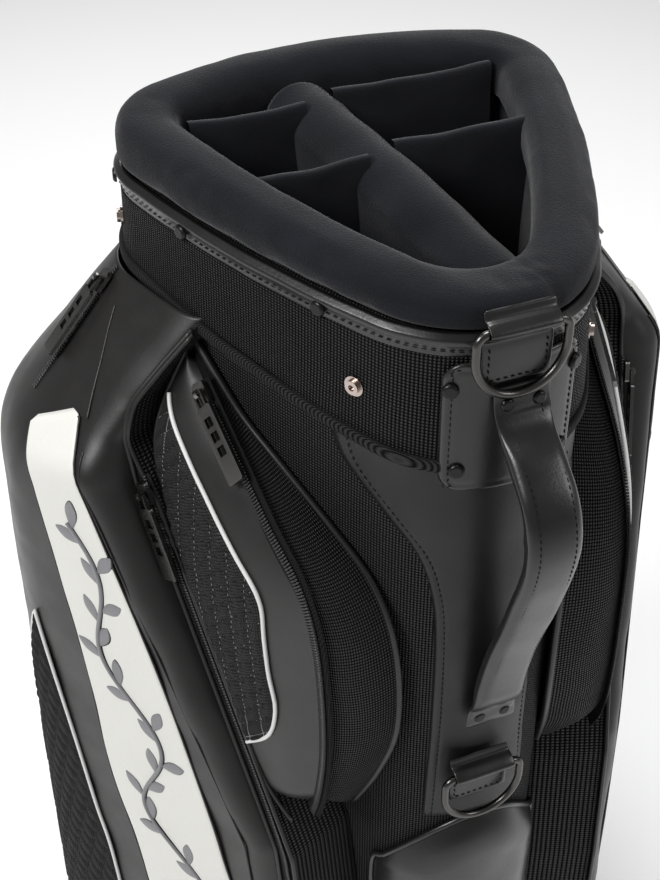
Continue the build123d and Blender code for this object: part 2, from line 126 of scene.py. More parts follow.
class Recipe:
    """Builds the nodes of one finish."""

    def __init__(self, finish: Finish) -> None:
        """Start an empty material for the finish.

        Args:
            finish: The finish to build.
        """
        self.finish = finish
        self.material = bpy.data.materials.new(finish.name)
        self.material.use_nodes = True
        self.tree = self.material.node_tree
        self.shader = self.tree.nodes["Principled BSDF"]

    def add(
        self, kind: str, inputs: dict[str | int, object] | None = None, **props: object
    ) -> bpy.types.Node:
        """Add one node.

        Args:
            kind: Node type without the ShaderNode prefix.
            inputs: Socket values or output sockets to link.
            props: Node properties.

        Returns:
            The new node.
        """
        node = self.tree.nodes.new("ShaderNode" + kind)
        for key, value in props.items():
            setattr(node, key, value)
        for key, value in (inputs or {}).items():
            if isinstance(value, bpy.types.NodeSocket):
                self.tree.links.new(value, node.inputs[key])
            else:
                node.inputs[key].default_value = value
        return node

    def sum(self, operation: str, first: object, second: object = 0.0) -> bpy.types.NodeSocket:
        """One Math node's output."""
        return self.add("Math", {0: first, 1: second}, operation=operation).outputs[0]

    def wave(self, line: bpy.types.NodeSocket) -> bpy.types.NodeSocket:
        """Rounded ridges, one for each unit of line."""
        return self.sum("ABSOLUTE", self.sum("SINE", self.sum("MULTIPLY", line, math.pi)))

    def coordinates(self) -> bpy.types.NodeSocket:
        """Coordinates in units of the pattern's pitch."""
        source = self.add("TexCoord").outputs["UV" if self.finish.on_cloth else "Object"]
        size = 1.0 / (self.finish.pitch * MM)
        return self.add("Mapping", {"Vector": source, "Scale": (size, size, size)}).outputs[0]

    def speckle(
        self, vector: bpy.types.NodeSocket, scale: float, detail: float = 2.0
    ) -> bpy.types.NodeSocket:
        """Noise on vector."""
        settings = {"Vector": vector, "Scale": scale, "Detail": detail}
        return self.add("TexNoise", settings).outputs["Fac"]

    def height(self, vector: bpy.types.NodeSocket) -> bpy.types.NodeSocket:
        """The relief of the pattern, 0 to 1.

        Args:
            vector: Coordinates in units of the pattern's pitch.

        Returns:
            The height's socket.
        """
        kind = self.finish.pattern
        if kind in (Pattern.WEAVE, Pattern.MESH, Pattern.RIB, Pattern.THREAD):
            axes = self.add("SeparateXYZ", {0: vector})
            across = axes.outputs["X"]
            along = axes.outputs["Y"]
            if not self.finish.on_cloth:
                across = self.sum("ADD", across, along)
                along = axes.outputs["Z"]
            warp = self.wave(across)
            weft = self.wave(along)
            if kind is Pattern.RIB:
                return warp
            if kind is Pattern.THREAD:
                return self.wave(self.sum("ADD", across, along))
            if kind is Pattern.MESH:
                return self.sum("MULTIPLY", warp, weft)
            joined = self.add("CombineXYZ", {0: across, 1: along})
            check = self.add("TexChecker", {"Vector": joined.outputs[0], "Scale": 1.0}).outputs["Fac"]
            over = self.sum("MULTIPLY", warp, check)
            under = self.sum("MULTIPLY", weft, self.sum("SUBTRACT", 1.0, check))
            return self.sum("ADD", over, under)
        if kind is Pattern.GRAIN:
            cells = self.add("TexVoronoi", {"Vector": vector, "Scale": 1.0}, feature="SMOOTH_F1")
            pebbles = self.sum("MULTIPLY", cells.outputs[0], 0.6)
            return self.sum("ADD", pebbles, self.speckle(vector, 0.4, 4.0))
        if kind is Pattern.BRUSHED:
            drawn = self.add("Mapping", {"Vector": vector, "Scale": (1.0, 1.0, 0.12)}).outputs[0]
            return self.speckle(drawn, 1.0, 3.0)
        return self.speckle(vector, 1.0, 3.0)

    def build(self) -> bpy.types.Material:
        """Wire the whole material and return it."""
        finish = self.finish
        vector = self.coordinates()
        body = self.add("TexCoord").outputs["Object"]
        height = self.height(vector)
        broad = self.speckle(body, 22.0, 3.0)
        patches = self.sum("MULTIPLY", broad, finish.mottling)
        # Broad random patches are the material's own tone; the relief's height darkens hollows and lightens
        # tops, which on cloth is painted shade and painted highlight, and on leather, metal and pile is
        # grain tone.
        shade = self.sum("ADD", patches, self.sum("MULTIPLY", height, 0.7))
        dark = tuple(c * (1 - finish.contrast) for c in finish.colour)
        light = tuple(min(0.92, c * (1 + finish.contrast)) for c in finish.colour)
        tones = {"Fac": shade, "Color1": (*dark, 1.0), "Color2": (*light, 1.0)}
        colour = self.add("MixRGB", tones).outputs[0]
        if finish.wear:
            edge = self.add("NewGeometry").outputs["Pointiness"]
            raised = self.add("MapRange", {"Value": edge, "From Min": 0.52, "From Max": 0.62}).outputs[0]
            worn = self.sum("MULTIPLY", raised, finish.wear)
            pale = tuple(min(0.9, c * 3.0 + 0.02) for c in finish.colour)
            colour = self.add("MixRGB", {"Fac": worn, "Color1": colour, "Color2": (*pale, 1.0)}).outputs[0]
        self.tree.links.new(colour, self.shader.inputs["Base Color"])
        scuff = self.speckle(body, 55.0, 4.0)
        low, high = max(0.05, finish.rough - 0.09), finish.rough + 0.09
        gloss = self.add("MapRange", {"Value": scuff, "To Min": low, "To Max": high}).outputs[0]
        if finish.pattern in CLOTHS:
            hollow = self.sum("MULTIPLY", self.sum("SUBTRACT", 1.0, height), 0.75)
            gloss = self.add("Math", {0: gloss, 1: hollow}, operation="ADD", use_clamp=True).outputs[0]
        self.tree.links.new(gloss, self.shader.inputs["Roughness"])
        deep = finish.pitch * 0.45 * MM
        bump = self.add("Bump", {"Strength": finish.relief, "Distance": deep, "Height": height})
        self.tree.links.new(bump.outputs[0], self.shader.inputs["Normal"])
        self.shader.inputs["Metallic"].default_value = finish.metal
        if finish.pattern in CLOTHS:
            peaks = self.sum("MULTIPLY", height, finish.specular * 1.5)
            self.tree.links.new(peaks, self.shader.inputs["Specular IOR Level"])
        else:
            self.shader.inputs["Specular IOR Level"].default_value = finish.specular
        self.shader.inputs["Sheen Weight"].default_value = finish.sheen
        self.shader.inputs["Sheen Roughness"].default_value = 0.45
        self.shader.inputs["Coat Weight"].default_value = finish.coat
        self.shader.inputs["Coat Roughness"].default_value = 0.25
        return self.material


VELOUR = Finish(
    "black_velour", "plush", (0.0052, 0.0055, 0.0075), 0.95, Pattern.PILE, 1.1, 1.0,
    sheen=0.16, mottling=0.9, contrast=0.7, specular=0.12,
)
NYLON = Finish(
    "basket_nylon", "ballistic_nylon", (0.009, 0.0088, 0.009), 0.36, Pattern.MESH, 2.4, 1.0,
    on_cloth=True, contrast=0.95, specular=0.34,
)
MESH = Finish(
    "double_mesh", "mesh_fabric", (0.0105, 0.0105, 0.0108), 0.42, Pattern.MESH, 2.2, 1.0,
    on_cloth=True, contrast=0.95, specular=0.45,
)
BINDING = Finish(
    "ribbed_binding", "webbing", (0.007, 0.007, 0.007), 0.7, Pattern.RIB, 1.3, 0.8, specular=0.3,
)
LINING = Finish("woven_lining", "lining", (0.008, 0.008, 0.009), 0.8, Pattern.WEAVE, 0.9, 0.4, specular=0.2)
GLOSSY = Finish(
    "glossy_leather", "trim_leather", (0.006, 0.0056, 0.0055), 0.33, Pattern.GRAIN, 1.3, 0.14,
    coat=0.2, wear=0.12, contrast=0.3, specular=0.45,
)
SPINE = Finish(
    "spine_leather", "trim_leather", (0.0055, 0.0053, 0.0053), 0.45, Pattern.GRAIN, 1.1, 0.16,
    wear=0.08, contrast=0.2, specular=0.38,
)
SATIN = Finish(
    "satin_leather", "pocket_leather", (0.0085, 0.0078, 0.0075), 0.4, Pattern.GRAIN, 0.9, 0.13,
    wear=0.06, contrast=0.35, specular=0.45,
)
WHITE = Finish(
    "cream_leather", "white_leather", (0.66, 0.655, 0.62), 0.5, Pattern.GRAIN, 1.0, 0.12,
    mottling=0.2, contrast=0.05,
)
WHITE_CORD = Finish(
    "white_piping", "white_leather", (0.68, 0.68, 0.67), 0.45, Pattern.FINE, 1.5, 0.1,
    mottling=0.2, contrast=0.05,
)
QUILT = Finish(
    "quilted_twill", "pocket_leather", (0.011, 0.011, 0.0115), 0.6, Pattern.WEAVE, 1.1, 0.6,
    on_cloth=True, contrast=0.6, specular=0.3,
)
GREY_THREAD = Finish("grey_thread", "webbing", (0.3, 0.3, 0.31), 0.6, Pattern.THREAD, 0.6, 0.6, specular=0.3)
DARK_THREAD = Finish(
    "dark_thread", "webbing", (0.0028, 0.0028, 0.0028), 0.6, Pattern.THREAD, 0.6, 0.6, specular=0.2,
)
SILVER_THREAD = Finish(
    "silver_satin_stitch", "white_leather", (0.19, 0.19, 0.2), 0.42, Pattern.THREAD, 0.6, 0.7,
    sheen=0.15, contrast=0.3,
)
TAPE = Finish("zip_tape", "zip_coil", (0.006, 0.006, 0.006), 0.8, Pattern.WEAVE, 0.8, 0.6, specular=0.2)
COIL = Finish("zip_teeth", "zip_coil", (0.009, 0.009, 0.0095), 0.4, Pattern.FINE, 0.5, 0.2)
GUNMETAL = Finish(
    "gunmetal", "dark_metal", (0.085, 0.082, 0.08), 0.27, Pattern.BRUSHED, 0.8, 0.12,
    metal=1.0, wear=0.5, contrast=0.2,
)
RIVET = Finish(
    "blackened_rivet", "dark_metal", (0.022, 0.021, 0.021), 0.3, Pattern.FINE, 0.8, 0.1,
    metal=0.8, wear=0.3, contrast=0.2,
)
NICKEL = Finish(
    "rose_nickel", "dark_metal", (0.42, 0.35, 0.31), 0.24, Pattern.BRUSHED, 0.8, 0.1,
    metal=1.0, wear=0.2, contrast=0.2,
)
PLASTIC = Finish(
    "tray_plastic", "moulded_plastic", (0.01, 0.01, 0.0105), 0.5, Pattern.FINE, 0.8, 0.3, wear=0.2,
)
RUBBER = Finish("base_rubber", "rubber", (0.008, 0.008, 0.008), 0.75, Pattern.FINE, 1.2, 0.5, wear=0.2)


# ------------------------------------------------------------------ meshes


def publish(
    name: str, bm: bmesh.types.BMesh, finish: Finish, inside: Vector | None = None
) -> bpy.types.Object:
    """Turn a bmesh in metres into a smooth-shaded piece.

    Args:
        name: The piece's name.
        bm: The finished bmesh, which is freed.
        finish: Its material.
        inside: A point in mm behind the surface, so that its faces point away from it.

    Returns:
        The new object, at the origin.
    """
    if inside is None:
        bmesh.ops.recalc_face_normals(bm, faces=bm.faces)
    else:
        heart = inside * MM
        facing = sum(f.normal.dot(f.calc_center_median() - heart) * f.calc_area() for f in bm.faces)
        if facing < 0:
            bmesh.ops.reverse_faces(bm, faces=bm.faces)
    for face in bm.faces:
        face.smooth = True
    mesh = bpy.data.meshes.new(name)
    bm.to_mesh(mesh)
    bm.free()
    piece = bpy.data.objects.new(name, mesh)
    bpy.context.scene.collection.objects.link(piece)
    mesh.materials.append(finish.material())
    LOG.info("%s: %d faces", name, len(mesh.polygons))
    return piece


def mapped(
    name: str,
    counts: tuple[int, int],
    place: Place,
    finish: Finish,
    cloth: tuple[float, float] = (100.0, 100.0),
    wrap: bool = False,
    inside: Vector | None = None,
    wall: float = 0.0,
) -> bpy.types.Object:
    """A grid laid onto a surface.

    Args:
        name: The piece's name.
        counts: Segments across and along.
        place: Point in mm for (across, along), each 0 to 1.
        finish: Its material.
        cloth: Size in mm of the flat cloth, for its UV map.
        wrap: True to merge edges that meet, which closes a ring or tube.
        inside: A point in mm behind the surface.
        wall: Thickness in mm of a sheet, laid behind its face.

    Returns:
        The new piece.
    """
    bm = bmesh.new()
    uv = bm.loops.layers.uv.new("UVMap")
    bmesh.ops.create_grid(bm, x_segments=counts[0], y_segments=counts[1], size=0.5, calc_uvs=True)
    for face in bm.faces:
        for loop in face.loops:
            loop[uv].uv = ((loop.vert.co.x + 0.5) * cloth[0] * MM, (loop.vert.co.y + 0.5) * cloth[1] * MM)
    for vert in bm.verts:
        vert.co = place(vert.co.x + 0.5, vert.co.y + 0.5) * MM
    if wrap:
        bmesh.ops.remove_doubles(bm, verts=bm.verts, dist=0.02 * MM)
    bm.normal_update()
    piece = publish(name, bm, finish, inside)
    if wall:
        skin = piece.modifiers.new("wall", "SOLIDIFY")
        skin.thickness = wall * MM
        skin.offset = -1.0
    return piece


def ride(*pieces: bpy.types.Object, body: str = "bag") -> None:
    """Fix pieces to a body."""
    for piece in pieces:
        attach(piece, body)


def curve_piece(
    name: str, points: Sequence[Vector], radius: float, finish: Finish, closed: bool = False
) -> bpy.types.Object:
    """A round cord through points in mm, such as piping.

    Args:
        name: The piece's name.
        points: Its middle line in mm.
        radius: Radius in mm.
        finish: Its material.
        closed: True for a loop.

    Returns:
        The new piece.
    """
    curve = bpy.data.curves.new(name, "CURVE")
    curve.dimensions = "3D"
    spline = curve.splines.new("POLY")
    spline.points.add(len(points) - 1)
    for knot, point in zip(spline.points, points):
        knot.co = (*(point * MM), 1.0)
    spline.use_cyclic_u = closed
    curve.bevel_depth = radius * MM
    curve.bevel_resolution = 2
    curve.use_fill_caps = True
    carrier = bpy.data.objects.new(name + "_path", curve)
    bpy.context.scene.collection.objects.link(carrier)
    depsgraph = bpy.context.evaluated_depsgraph_get()
    mesh = bpy.data.meshes.new_from_object(carrier.evaluated_get(depsgraph))
    bpy.data.objects.remove(carrier)
    bm = bmesh.new()
    bm.from_mesh(mesh)
    bpy.data.meshes.remove(mesh)
    bmesh.ops.remove_doubles(bm, verts=bm.verts, dist=0.02 * MM)
    return publish(name, bm, finish)


class Track:
    """A smooth line through a few points in mm, measured by its length."""

    def __init__(self, points: Sequence[Sequence[float]], closed: bool = False) -> None:
        """Sample a Catmull-Rom line through the points.

        Args:
            points: Points in mm.
            closed: True for a loop.
        """
        knots = [Vector(p) for p in points]
        count = len(knots)
        self.samples: list[Vector] = []
        for k in range(count if closed else count - 1):
            if closed:
                a, b, c, d = (knots[(k + j) % count] for j in (-1, 0, 1, 2))
            else:
                a, b, c, d = (knots[min(max(k + j, 0), count - 1)] for j in (-1, 0, 1, 2))
            for step in range(12):
                t = step / 12
                bend = (2 * a - 5 * b + 4 * c - d) * t * t + (3 * b - a - 3 * c + d) * t**3
                self.samples.append(0.5 * (2 * b + (c - a) * t + bend))
        self.samples.append(knots[0] if closed else knots[-1])
        self.marks = [0.0]
        for start, end in zip(self.samples, self.samples[1:]):
            self.marks.append(self.marks[-1] + (end - start).length)
        self.length = self.marks[-1]

    def at(self, part: float) -> Vector:
        """The point at that part of the length, 0 to 1.

        Args:
            part: Part of the length, 0 to 1.

        Returns:
            The point in mm.
        """
        want = min(max(part, 0.0), 1.0) * self.length
        low = 0
        high = len(self.marks) - 1
        while high - low > 1:
            half = (low + high) // 2
            low, high = (half, high) if self.marks[half] <= want else (low, half)
        gap = self.marks[high] - self.marks[low] or 1.0
        return self.samples[low].lerp(self.samples[high], (want - self.marks[low]) / gap)

    def heading(self, part: float) -> Vector:
        """Unit direction of the line there."""
        return (self.at(part + 0.004) - self.at(part - 0.004)).normalized()

    def points(self, count: int, start: float = 0.0, end: float = 1.0) -> list[Vector]:
        """Evenly spaced points from part start to part end."""
        return [self.at(start + (end - start) * k / (count - 1)) for k in range(count)]


def beads(
    name: str,
    spots: Sequence[tuple[Vector, Vector, Vector]],
    size: Point,
    finish: Finish,
    square: bool = False,
) -> bpy.types.Object:
    """Many small equal bodies, such as stitches or zip teeth.

    Args:
        name: The piece's name.
        spots: Centre, direction and outward direction of each, in mm.
        size: Length, width and height in mm.
        finish: Their material.
        square: True for blocks, False for rounded grains.

    Returns:
        One piece that holds them all.
    """
    bm = bmesh.new()
    for centre, along, out in spots:
        side = out.cross(along).normalized()
        lift = along.cross(side).normalized()
        turn = Matrix((along, side, lift)).transposed().to_4x4()
        pose = Matrix.Translation(centre * MM) @ turn @ Matrix.Diagonal((*(Vector(size) * MM), 1.0))
        if square:
            bmesh.ops.create_cube(bm, size=1.0, matrix=pose)
        else:
            bmesh.ops.create_icosphere(bm, subdivisions=1, radius=0.5, matrix=pose)
    return publish(name, bm, finish)


def stitches(
    name: str,
    track: Track,
    out: Callable[[Vector], Vector],
    finish: Finish = DARK_THREAD,
    pitch: float = 4.6,
) -> bpy.types.Object:
    """A row of stitches along a track, each lying on the surface whose outward direction out gives.

    Args:
        name: The piece's name.
        track: Line that the stitches follow.
        out: Gives the outward direction at a point.
        finish: The thread.
        pitch: Spacing in mm.

    Returns:
        The new piece.
    """
    count = max(2, round(track.length / pitch))
    spots = []
    for k in range(count):
        part = (k + 0.5) / count
        spots.append((track.at(part), track.heading(part), out(track.at(part))))
    return beads(name, spots, (pitch * 0.72, 0.9, 0.8), finish)


def inflate(piece: bpy.types.Object, pressure: float, cap: float, frames: int = 20) -> None:
    """Puff a closed piece with cloth simulation, no point moving more than cap mm.

    Args:
        piece: The closed piece.
        pressure: Pressure of the filling.
        cap: Farthest that a point may move, in mm.
        frames: Steps of the simulation.
    """
    scene = bpy.context.scene
    before = [v.co.copy() for v in piece.data.vertices]
    cloth = piece.modifiers.new("puff", "CLOTH")
    cloth.settings.use_pressure = True
    cloth.settings.uniform_pressure_force = pressure
    cloth.settings.quality = 5
    cloth.settings.tension_stiffness = 12
    cloth.settings.compression_stiffness = 12
    cloth.settings.bending_stiffness = 0.4
    cloth.settings.effector_weights.gravity = 0.0
    cloth.point_cache.frame_start = 1
    cloth.point_cache.frame_end = frames
    for step in range(1, frames + 1):
        scene.frame_set(step)
    puffed = piece.evaluated_get(bpy.context.evaluated_depsgraph_get())
    after = [v.co.copy() for v in puffed.data.vertices]
    piece.modifiers.remove(cloth)
    scene.frame_set(1)
    for vert, old, new in zip(piece.data.vertices, before, after):
        move = new - old
        if move.length > cap * MM:
            move *= cap * MM / move.length
        vert.co = old + move


def arch(part: float, half: float, low: float, top: float) -> tuple[float, float]:
    """Point round an upright section with a half-round top, starting under its middle.

    Args:
        part: Part of the way round, 0 to 1.
        half: Half width in mm.
        low: Height of the foot.
        top: Height of the crown.

    Returns:
        (across, z).
    """
    side = -1 if part < 0.5 else 1
    near = min(part, 1 - part) * 2
    shoulder = top - half
    if near < 0.12:
        return side * half * near / 0.12, low
    if near < 0.6:
        return side * half, low + (shoulder - low) * (near - 0.12) / 0.48
    angle = (near - 0.6) / 0.4 * math.pi / 2
    return side * half * math.cos(angle), shoulder + half * math.sin(angle)


def ease(part: float) -> float:
    """Smooth step from 0 to 1."""
    part = min(max(part, 0.0), 1.0)
    return part * part * (3 - 2 * part)


def ripple(point: Vector, size: float, depth: float) -> float:
    """Soft unevenness of depth mm over features of size mm."""
    return depth * noise.noise(point / size)


# ------------------------------------------------------------------ the bag's own frame


@dataclass
class Outline:
    """Plan of the tube: a rounded triangle of tangent arcs, in mm."""

    corner: tuple[float, float] = (101.0, 45.0)
    corner_r: float = 50.0
    spine: tuple[float, float] = (0.0, -119.0)
    spine_r: float = 80.0
    side: tuple[float, float] = (-557.24, 215.63)
    side_r: float = 730.0
    front: tuple[float, float] = (0.0, -226.84)
    front_r: float = 340.0
    breaks: tuple[float, float, float] = (0.3561, 1.8239, 2.1118)

    def __post_init__(self) -> None:
        """Measure round the outline."""
        self.turns: list[float] = [math.pi * (2 * k / 720 - 1) for k in range(721)]
        self.marks: list[float] = [0.0]
        for a, b in zip(self.turns, self.turns[1:]):
            self.marks.append(self.marks[-1] + (self.at(b) - self.at(a)).length)
        self.length = self.marks[-1]

    def at(self, turn: float, out: float = 0.0, z: float = 0.0) -> Vector:
        """Point at normal angle turn from +Y towards +X, out mm outside, at height z.

        Args:
            turn: Normal angle in radians.
            out: Distance outside the outline in mm.
            z: Height in mm.

        Returns:
            The point in mm.
        """
        size = abs(turn)
        centre, radius = self.spine, self.spine_r
        if size < self.breaks[0]:
            centre, radius = self.front, self.front_r
        elif size < self.breaks[1]:
            centre, radius = self.corner, self.corner_r
        elif size < self.breaks[2]:
            centre, radius = self.side, self.side_r
        x = centre[0] + (radius + out) * math.sin(size)
        y = centre[1] + (radius + out) * math.cos(size)
        return Vector((math.copysign(x, turn) if turn else x, y, z))

    def turn(self, part: float) -> float:
        """Normal angle at that part of the way round, starting behind the spine.

        Args:
            part: Part of the way round, 0 to 1.

        Returns:
            The normal angle in radians.
        """
        want = min(max(part, 0.0), 1.0) * self.length
        low = 0
        high = len(self.marks) - 1
        while high - low > 1:
            half = (low + high) // 2
            low, high = (half, high) if self.marks[half] <= want else (low, half)
        share = (want - self.marks[low]) / (self.marks[high] - self.marks[low])
        return self.turns[low] + (self.turns[high] - self.turns[low]) * share

    def turn_at_x(self, x: float, out: float = 0.0) -> float:
        """Normal angle on the spine arc whose point has that x."""
        size = math.pi - math.asin(min(1.0, abs(x) / (self.spine_r + out)))
        return math.copysign(size, x)


OUTLINE = Outline()
REF = 850.0
AXIS = Vector((0, -30, 500))


def trim_level(y: float) -> float:
    """Height of the cuff's lower edge."""
    return 836 + 0.043 * y


def rim_level(y: float) -> float:
    """Height of the mouth's crown."""
    return 869 + 0.088 * y


def skirt_level(y: float) -> float:
    """Height of the collar's lower edge."""
    return 767 + 0.164 * y


def outwards(point: Vector) -> Vector:
    """Level direction away from the tube's axis."""
    return Vector((point.x, point.y + 30, 0)).normalized()


def ring(
    name: str,
    section: Callable[[float, float, float], tuple[float, float]],
    finish: Finish,
    counts: tuple[int, int],
    depth: float,
) -> bpy.types.Object:
    """A closed ring round the tube.

    Args:
        name: The piece's name.
        section: (out, z) in mm for (part round the section, turn, y on the outline).
        finish: Its material.
        counts: Segments round the tube and round the section.
        depth: Length in mm round the section, for the UV map.

    Returns:
        The new piece.
    """

    def place(round_tube: float, round_section: float) -> Vector:
        """Point in mm for the two shares of the grid."""
        turn = OUTLINE.turn(round_tube)
        out, z = section(round_section, turn, OUTLINE.at(turn).y)
        return OUTLINE.at(turn, out, z)

    return mapped(name, counts, place, finish, (OUTLINE.length, depth), wrap=True)


def rounded(part: float, low: Pair, high: Pair, square: float = 0.5) -> Pair:
    """Point round a rounded rectangle.

    Args:
        part: Part of the way round, 0 to 1.
        low: (out, z) of one corner.
        high: (out, z) of the other corner.
        square: Exponent, 1 for an ellipse and near 0 for a box.

    Returns:
        (out, z).
    """
    angle = 2 * math.pi * part
    c, s = math.cos(angle), math.sin(angle)
    x = math.copysign(abs(c) ** square, c)
    y = math.copysign(abs(s) ** square, s)
    out = (low[0] + high[0]) / 2 + x * (high[0] - low[0]) / 2
    return out, (low[1] + high[1]) / 2 + y * (high[1] - low[1]) / 2


def walked(part: float, low: Pair, high: Pair) -> Pair:
    """Point round a box at an even pace, so that a weave keeps its size.

    Args:
        part: Part of the way round, 0 to 1, up the outer face first.
        low: (out, z) of one corner.
        high: (out, z) of the other corner.

    Returns:
        (out, z).
    """
    wide, tall = high[0] - low[0], high[1] - low[1]
    place = (part % 1.0) * 2 * (wide + tall)
    if place < tall:
        edge = min(place, tall - place)
        return high[0] - 0.3 * wide * max(0.0, 1 - edge / 1.5), low[1] + place
    if place < tall + wide:
        return high[0] - (place - tall), high[1]
    if place < 2 * tall + wide:
        return low[0], high[1] - (place - tall - wide)
    return low[0] + (place - 2 * tall - wide), low[1]


# ------------------------------------------------------------------ mouth


@dataclass
class Mouth:
    """Plush cuff, throat lining and the padded dividers."""

    cuff_out: float = 2.2
    cuff_in: float = -38.0
    throat_in: float = -30.5
    throat_low: float = 735.0
    head_width: float = 42.0
    cross_thick: float = 9.0
    cross_y: tuple[tuple[float, float], ...] = ((40.0, 50.0), (-34.0, -22.0))
    turn: float = math.radians(9.0)
    head_x: float = -5.0

    def cuff(self) -> bpy.types.Object:
        """The fat plush roll round the mouth, sewn shut beside the upper ring."""
        seam_turn = 2.86

        def section(part: float, turn: float, y: float) -> tuple[float, float]:
            """Give (out, z) of the section for one part of the way round it."""
            low = (self.cuff_in, trim_level(y) + 0.6)
            high = (self.cuff_out, rim_level(y) - 1)
            out, z = rounded(part, low, high, 0.74 if part < 0.5 else 0.4)
            crease = math.exp(-((turn - seam_turn) * 70) ** 2)
            spot = OUTLINE.at(turn, out, z)
            soft = ripple(spot, 34, 1.1) + ripple(spot, 11, 0.35) - 1.4 * crease
            middle = (self.cuff_in + self.cuff_out) / 2
            return out + soft * (1 if out > middle else -1) * 0.7, z + max(0.0, soft) * 0.5

        piece = ring("plush_cuff", section, VELOUR, (260, 44), 110)
        inflate(piece, 3.0, 1.6)
        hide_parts("cuff")
        return piece

    def throat(self) -> bpy.types.Object:
        """Plush wall inside the mouth, in two panels with a sewn seam between them."""
        seam = 792.0

        def section(part: float, turn: float, y: float) -> tuple[float, float]:
            """Give (out, z) of the section for one part of the way round it."""
            low = (self.throat_in, self.throat_low, 0)
            out, z = rounded(part, low, (-9.5, trim_level(y) - 0.5), 0.3)
            spot = OUTLINE.at(turn, out, z)
            groove = 1.6 * math.exp(-(((z - seam) / 2.2) ** 2))
            inner = out < -20
            return out + (ripple(spot, 42, 1.6) + groove if inner else 0.0), z

        piece = ring("throat_lining", section, VELOUR, (200, 60), 240)
        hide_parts("throat_frame")
        return piece

    def crown(self, y: float) -> float:
        """Height of the centre divider's top along the mouth."""
        return REF + 16 + 0.105 * (y - 78) + 5 * math.sin(math.pi * (y + 160) / 238)

    def centre(self) -> bpy.types.Object:
        """The thick centre divider, a padded wall with a rounded top."""
        low = self.throat_low + 1

        def place(along: float, round_it: float) -> Vector:
            """Point in mm for the two shares of the grid."""
            reach = min(1.0, min(along, 1 - along) * 60)
            y = -159 + 237 * along
            top = self.crown(y) + ripple(Vector((0, y, 0)), 30, 1.0)
            across, z = arch(round_it, self.head_width / 2, low, top)
            rise = (z - low) / (top - low)
            pinch = 1 - 0.12 * math.sin(math.pi * min(1.0, rise * 1.1))
            across = across * pinch * reach + ripple(Vector((across, y, z)), 38, 1.4)
            x = self.head_x + across - math.tan(self.turn) * (y + 40)
            return Vector((x, y, low + (z - low) * (0.96 + 0.04 * reach)))

        piece = mapped("centre_divider_pad", (90, 56), place, VELOUR, (240, 280), wrap=True)
        inflate(piece, 3.0, 1.5)
        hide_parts("centre_divider")
        return piece

    def cross(self, row: int, side: int) -> bpy.types.Object:
        """One thin cross divider, from the centre divider to the throat wall.

        Args:
            row: 0 for the front pair, 1 for the back pair.
            side: -1 for left, 1 for right.

        Returns:
            The new piece.
        """
        y = self.cross_y[row][0 if side < 0 else 1]
        name = f"{('front', 'back')[row]}_{'left' if side < 0 else 'right'}"
        head = self.head_x - math.tan(self.turn) * (y + 40)
        inner = head + side * (self.head_width / 2 - 9)
        reach = 100.0
        while abs(reach) > 20 and not self.within(side * reach, y):
            reach -= 1.0
        outer = side * (reach + 9)
        low = self.throat_low + 2
        half = self.cross_thick / 2

        def place(along: float, round_it: float) -> Vector:
            """Point in mm for the two shares of the grid."""
            x = inner + (outer - inner) * along
            sag = 1.5 * math.sin(math.pi * along)
            top = REF + 12 + 0.088 * y - sag + ripple(Vector((x, y, 9)), 25, 1.2)
            across, z = rounded(round_it, (-half, low), (half, top), 0.4)
            soft = ripple(Vector((x, y, z)), 28, 1.8)
            return Vector((x, y + across + soft, z))

        piece = mapped("cross_divider_pad_" + name, (40, 48), place, VELOUR, (80, 240), wrap=True)
        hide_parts("cross_divider_" + name)
        return piece

    def within(self, x: float, y: float) -> bool:
        """True if (x, y) is inside the throat.

        Args:
            x: X in mm.
            y: Y in mm.

        Returns:
            True or False.
        """
        turns = [OUTLINE.turn(k / 90) for k in range(90)]
        wall = [OUTLINE.at(t, self.throat_in) for t in turns]
        hits = 0
        for a, b in zip(wall, wall[1:] + wall[:1]):
            if (a.y > y) != (b.y > y) and x < a.x + (y - a.y) / (b.y - a.y) * (b.x - a.x):
                hits += 1
        return hits % 2 == 1

    def build(self) -> None:
        """Make every piece of the mouth."""
        ride(self.cuff(), self.throat(), self.centre())
        for row in (0, 1):
            for side in (-1, 1):
                ride(self.cross(row, side))


# ------------------------------------------------------------------ collar


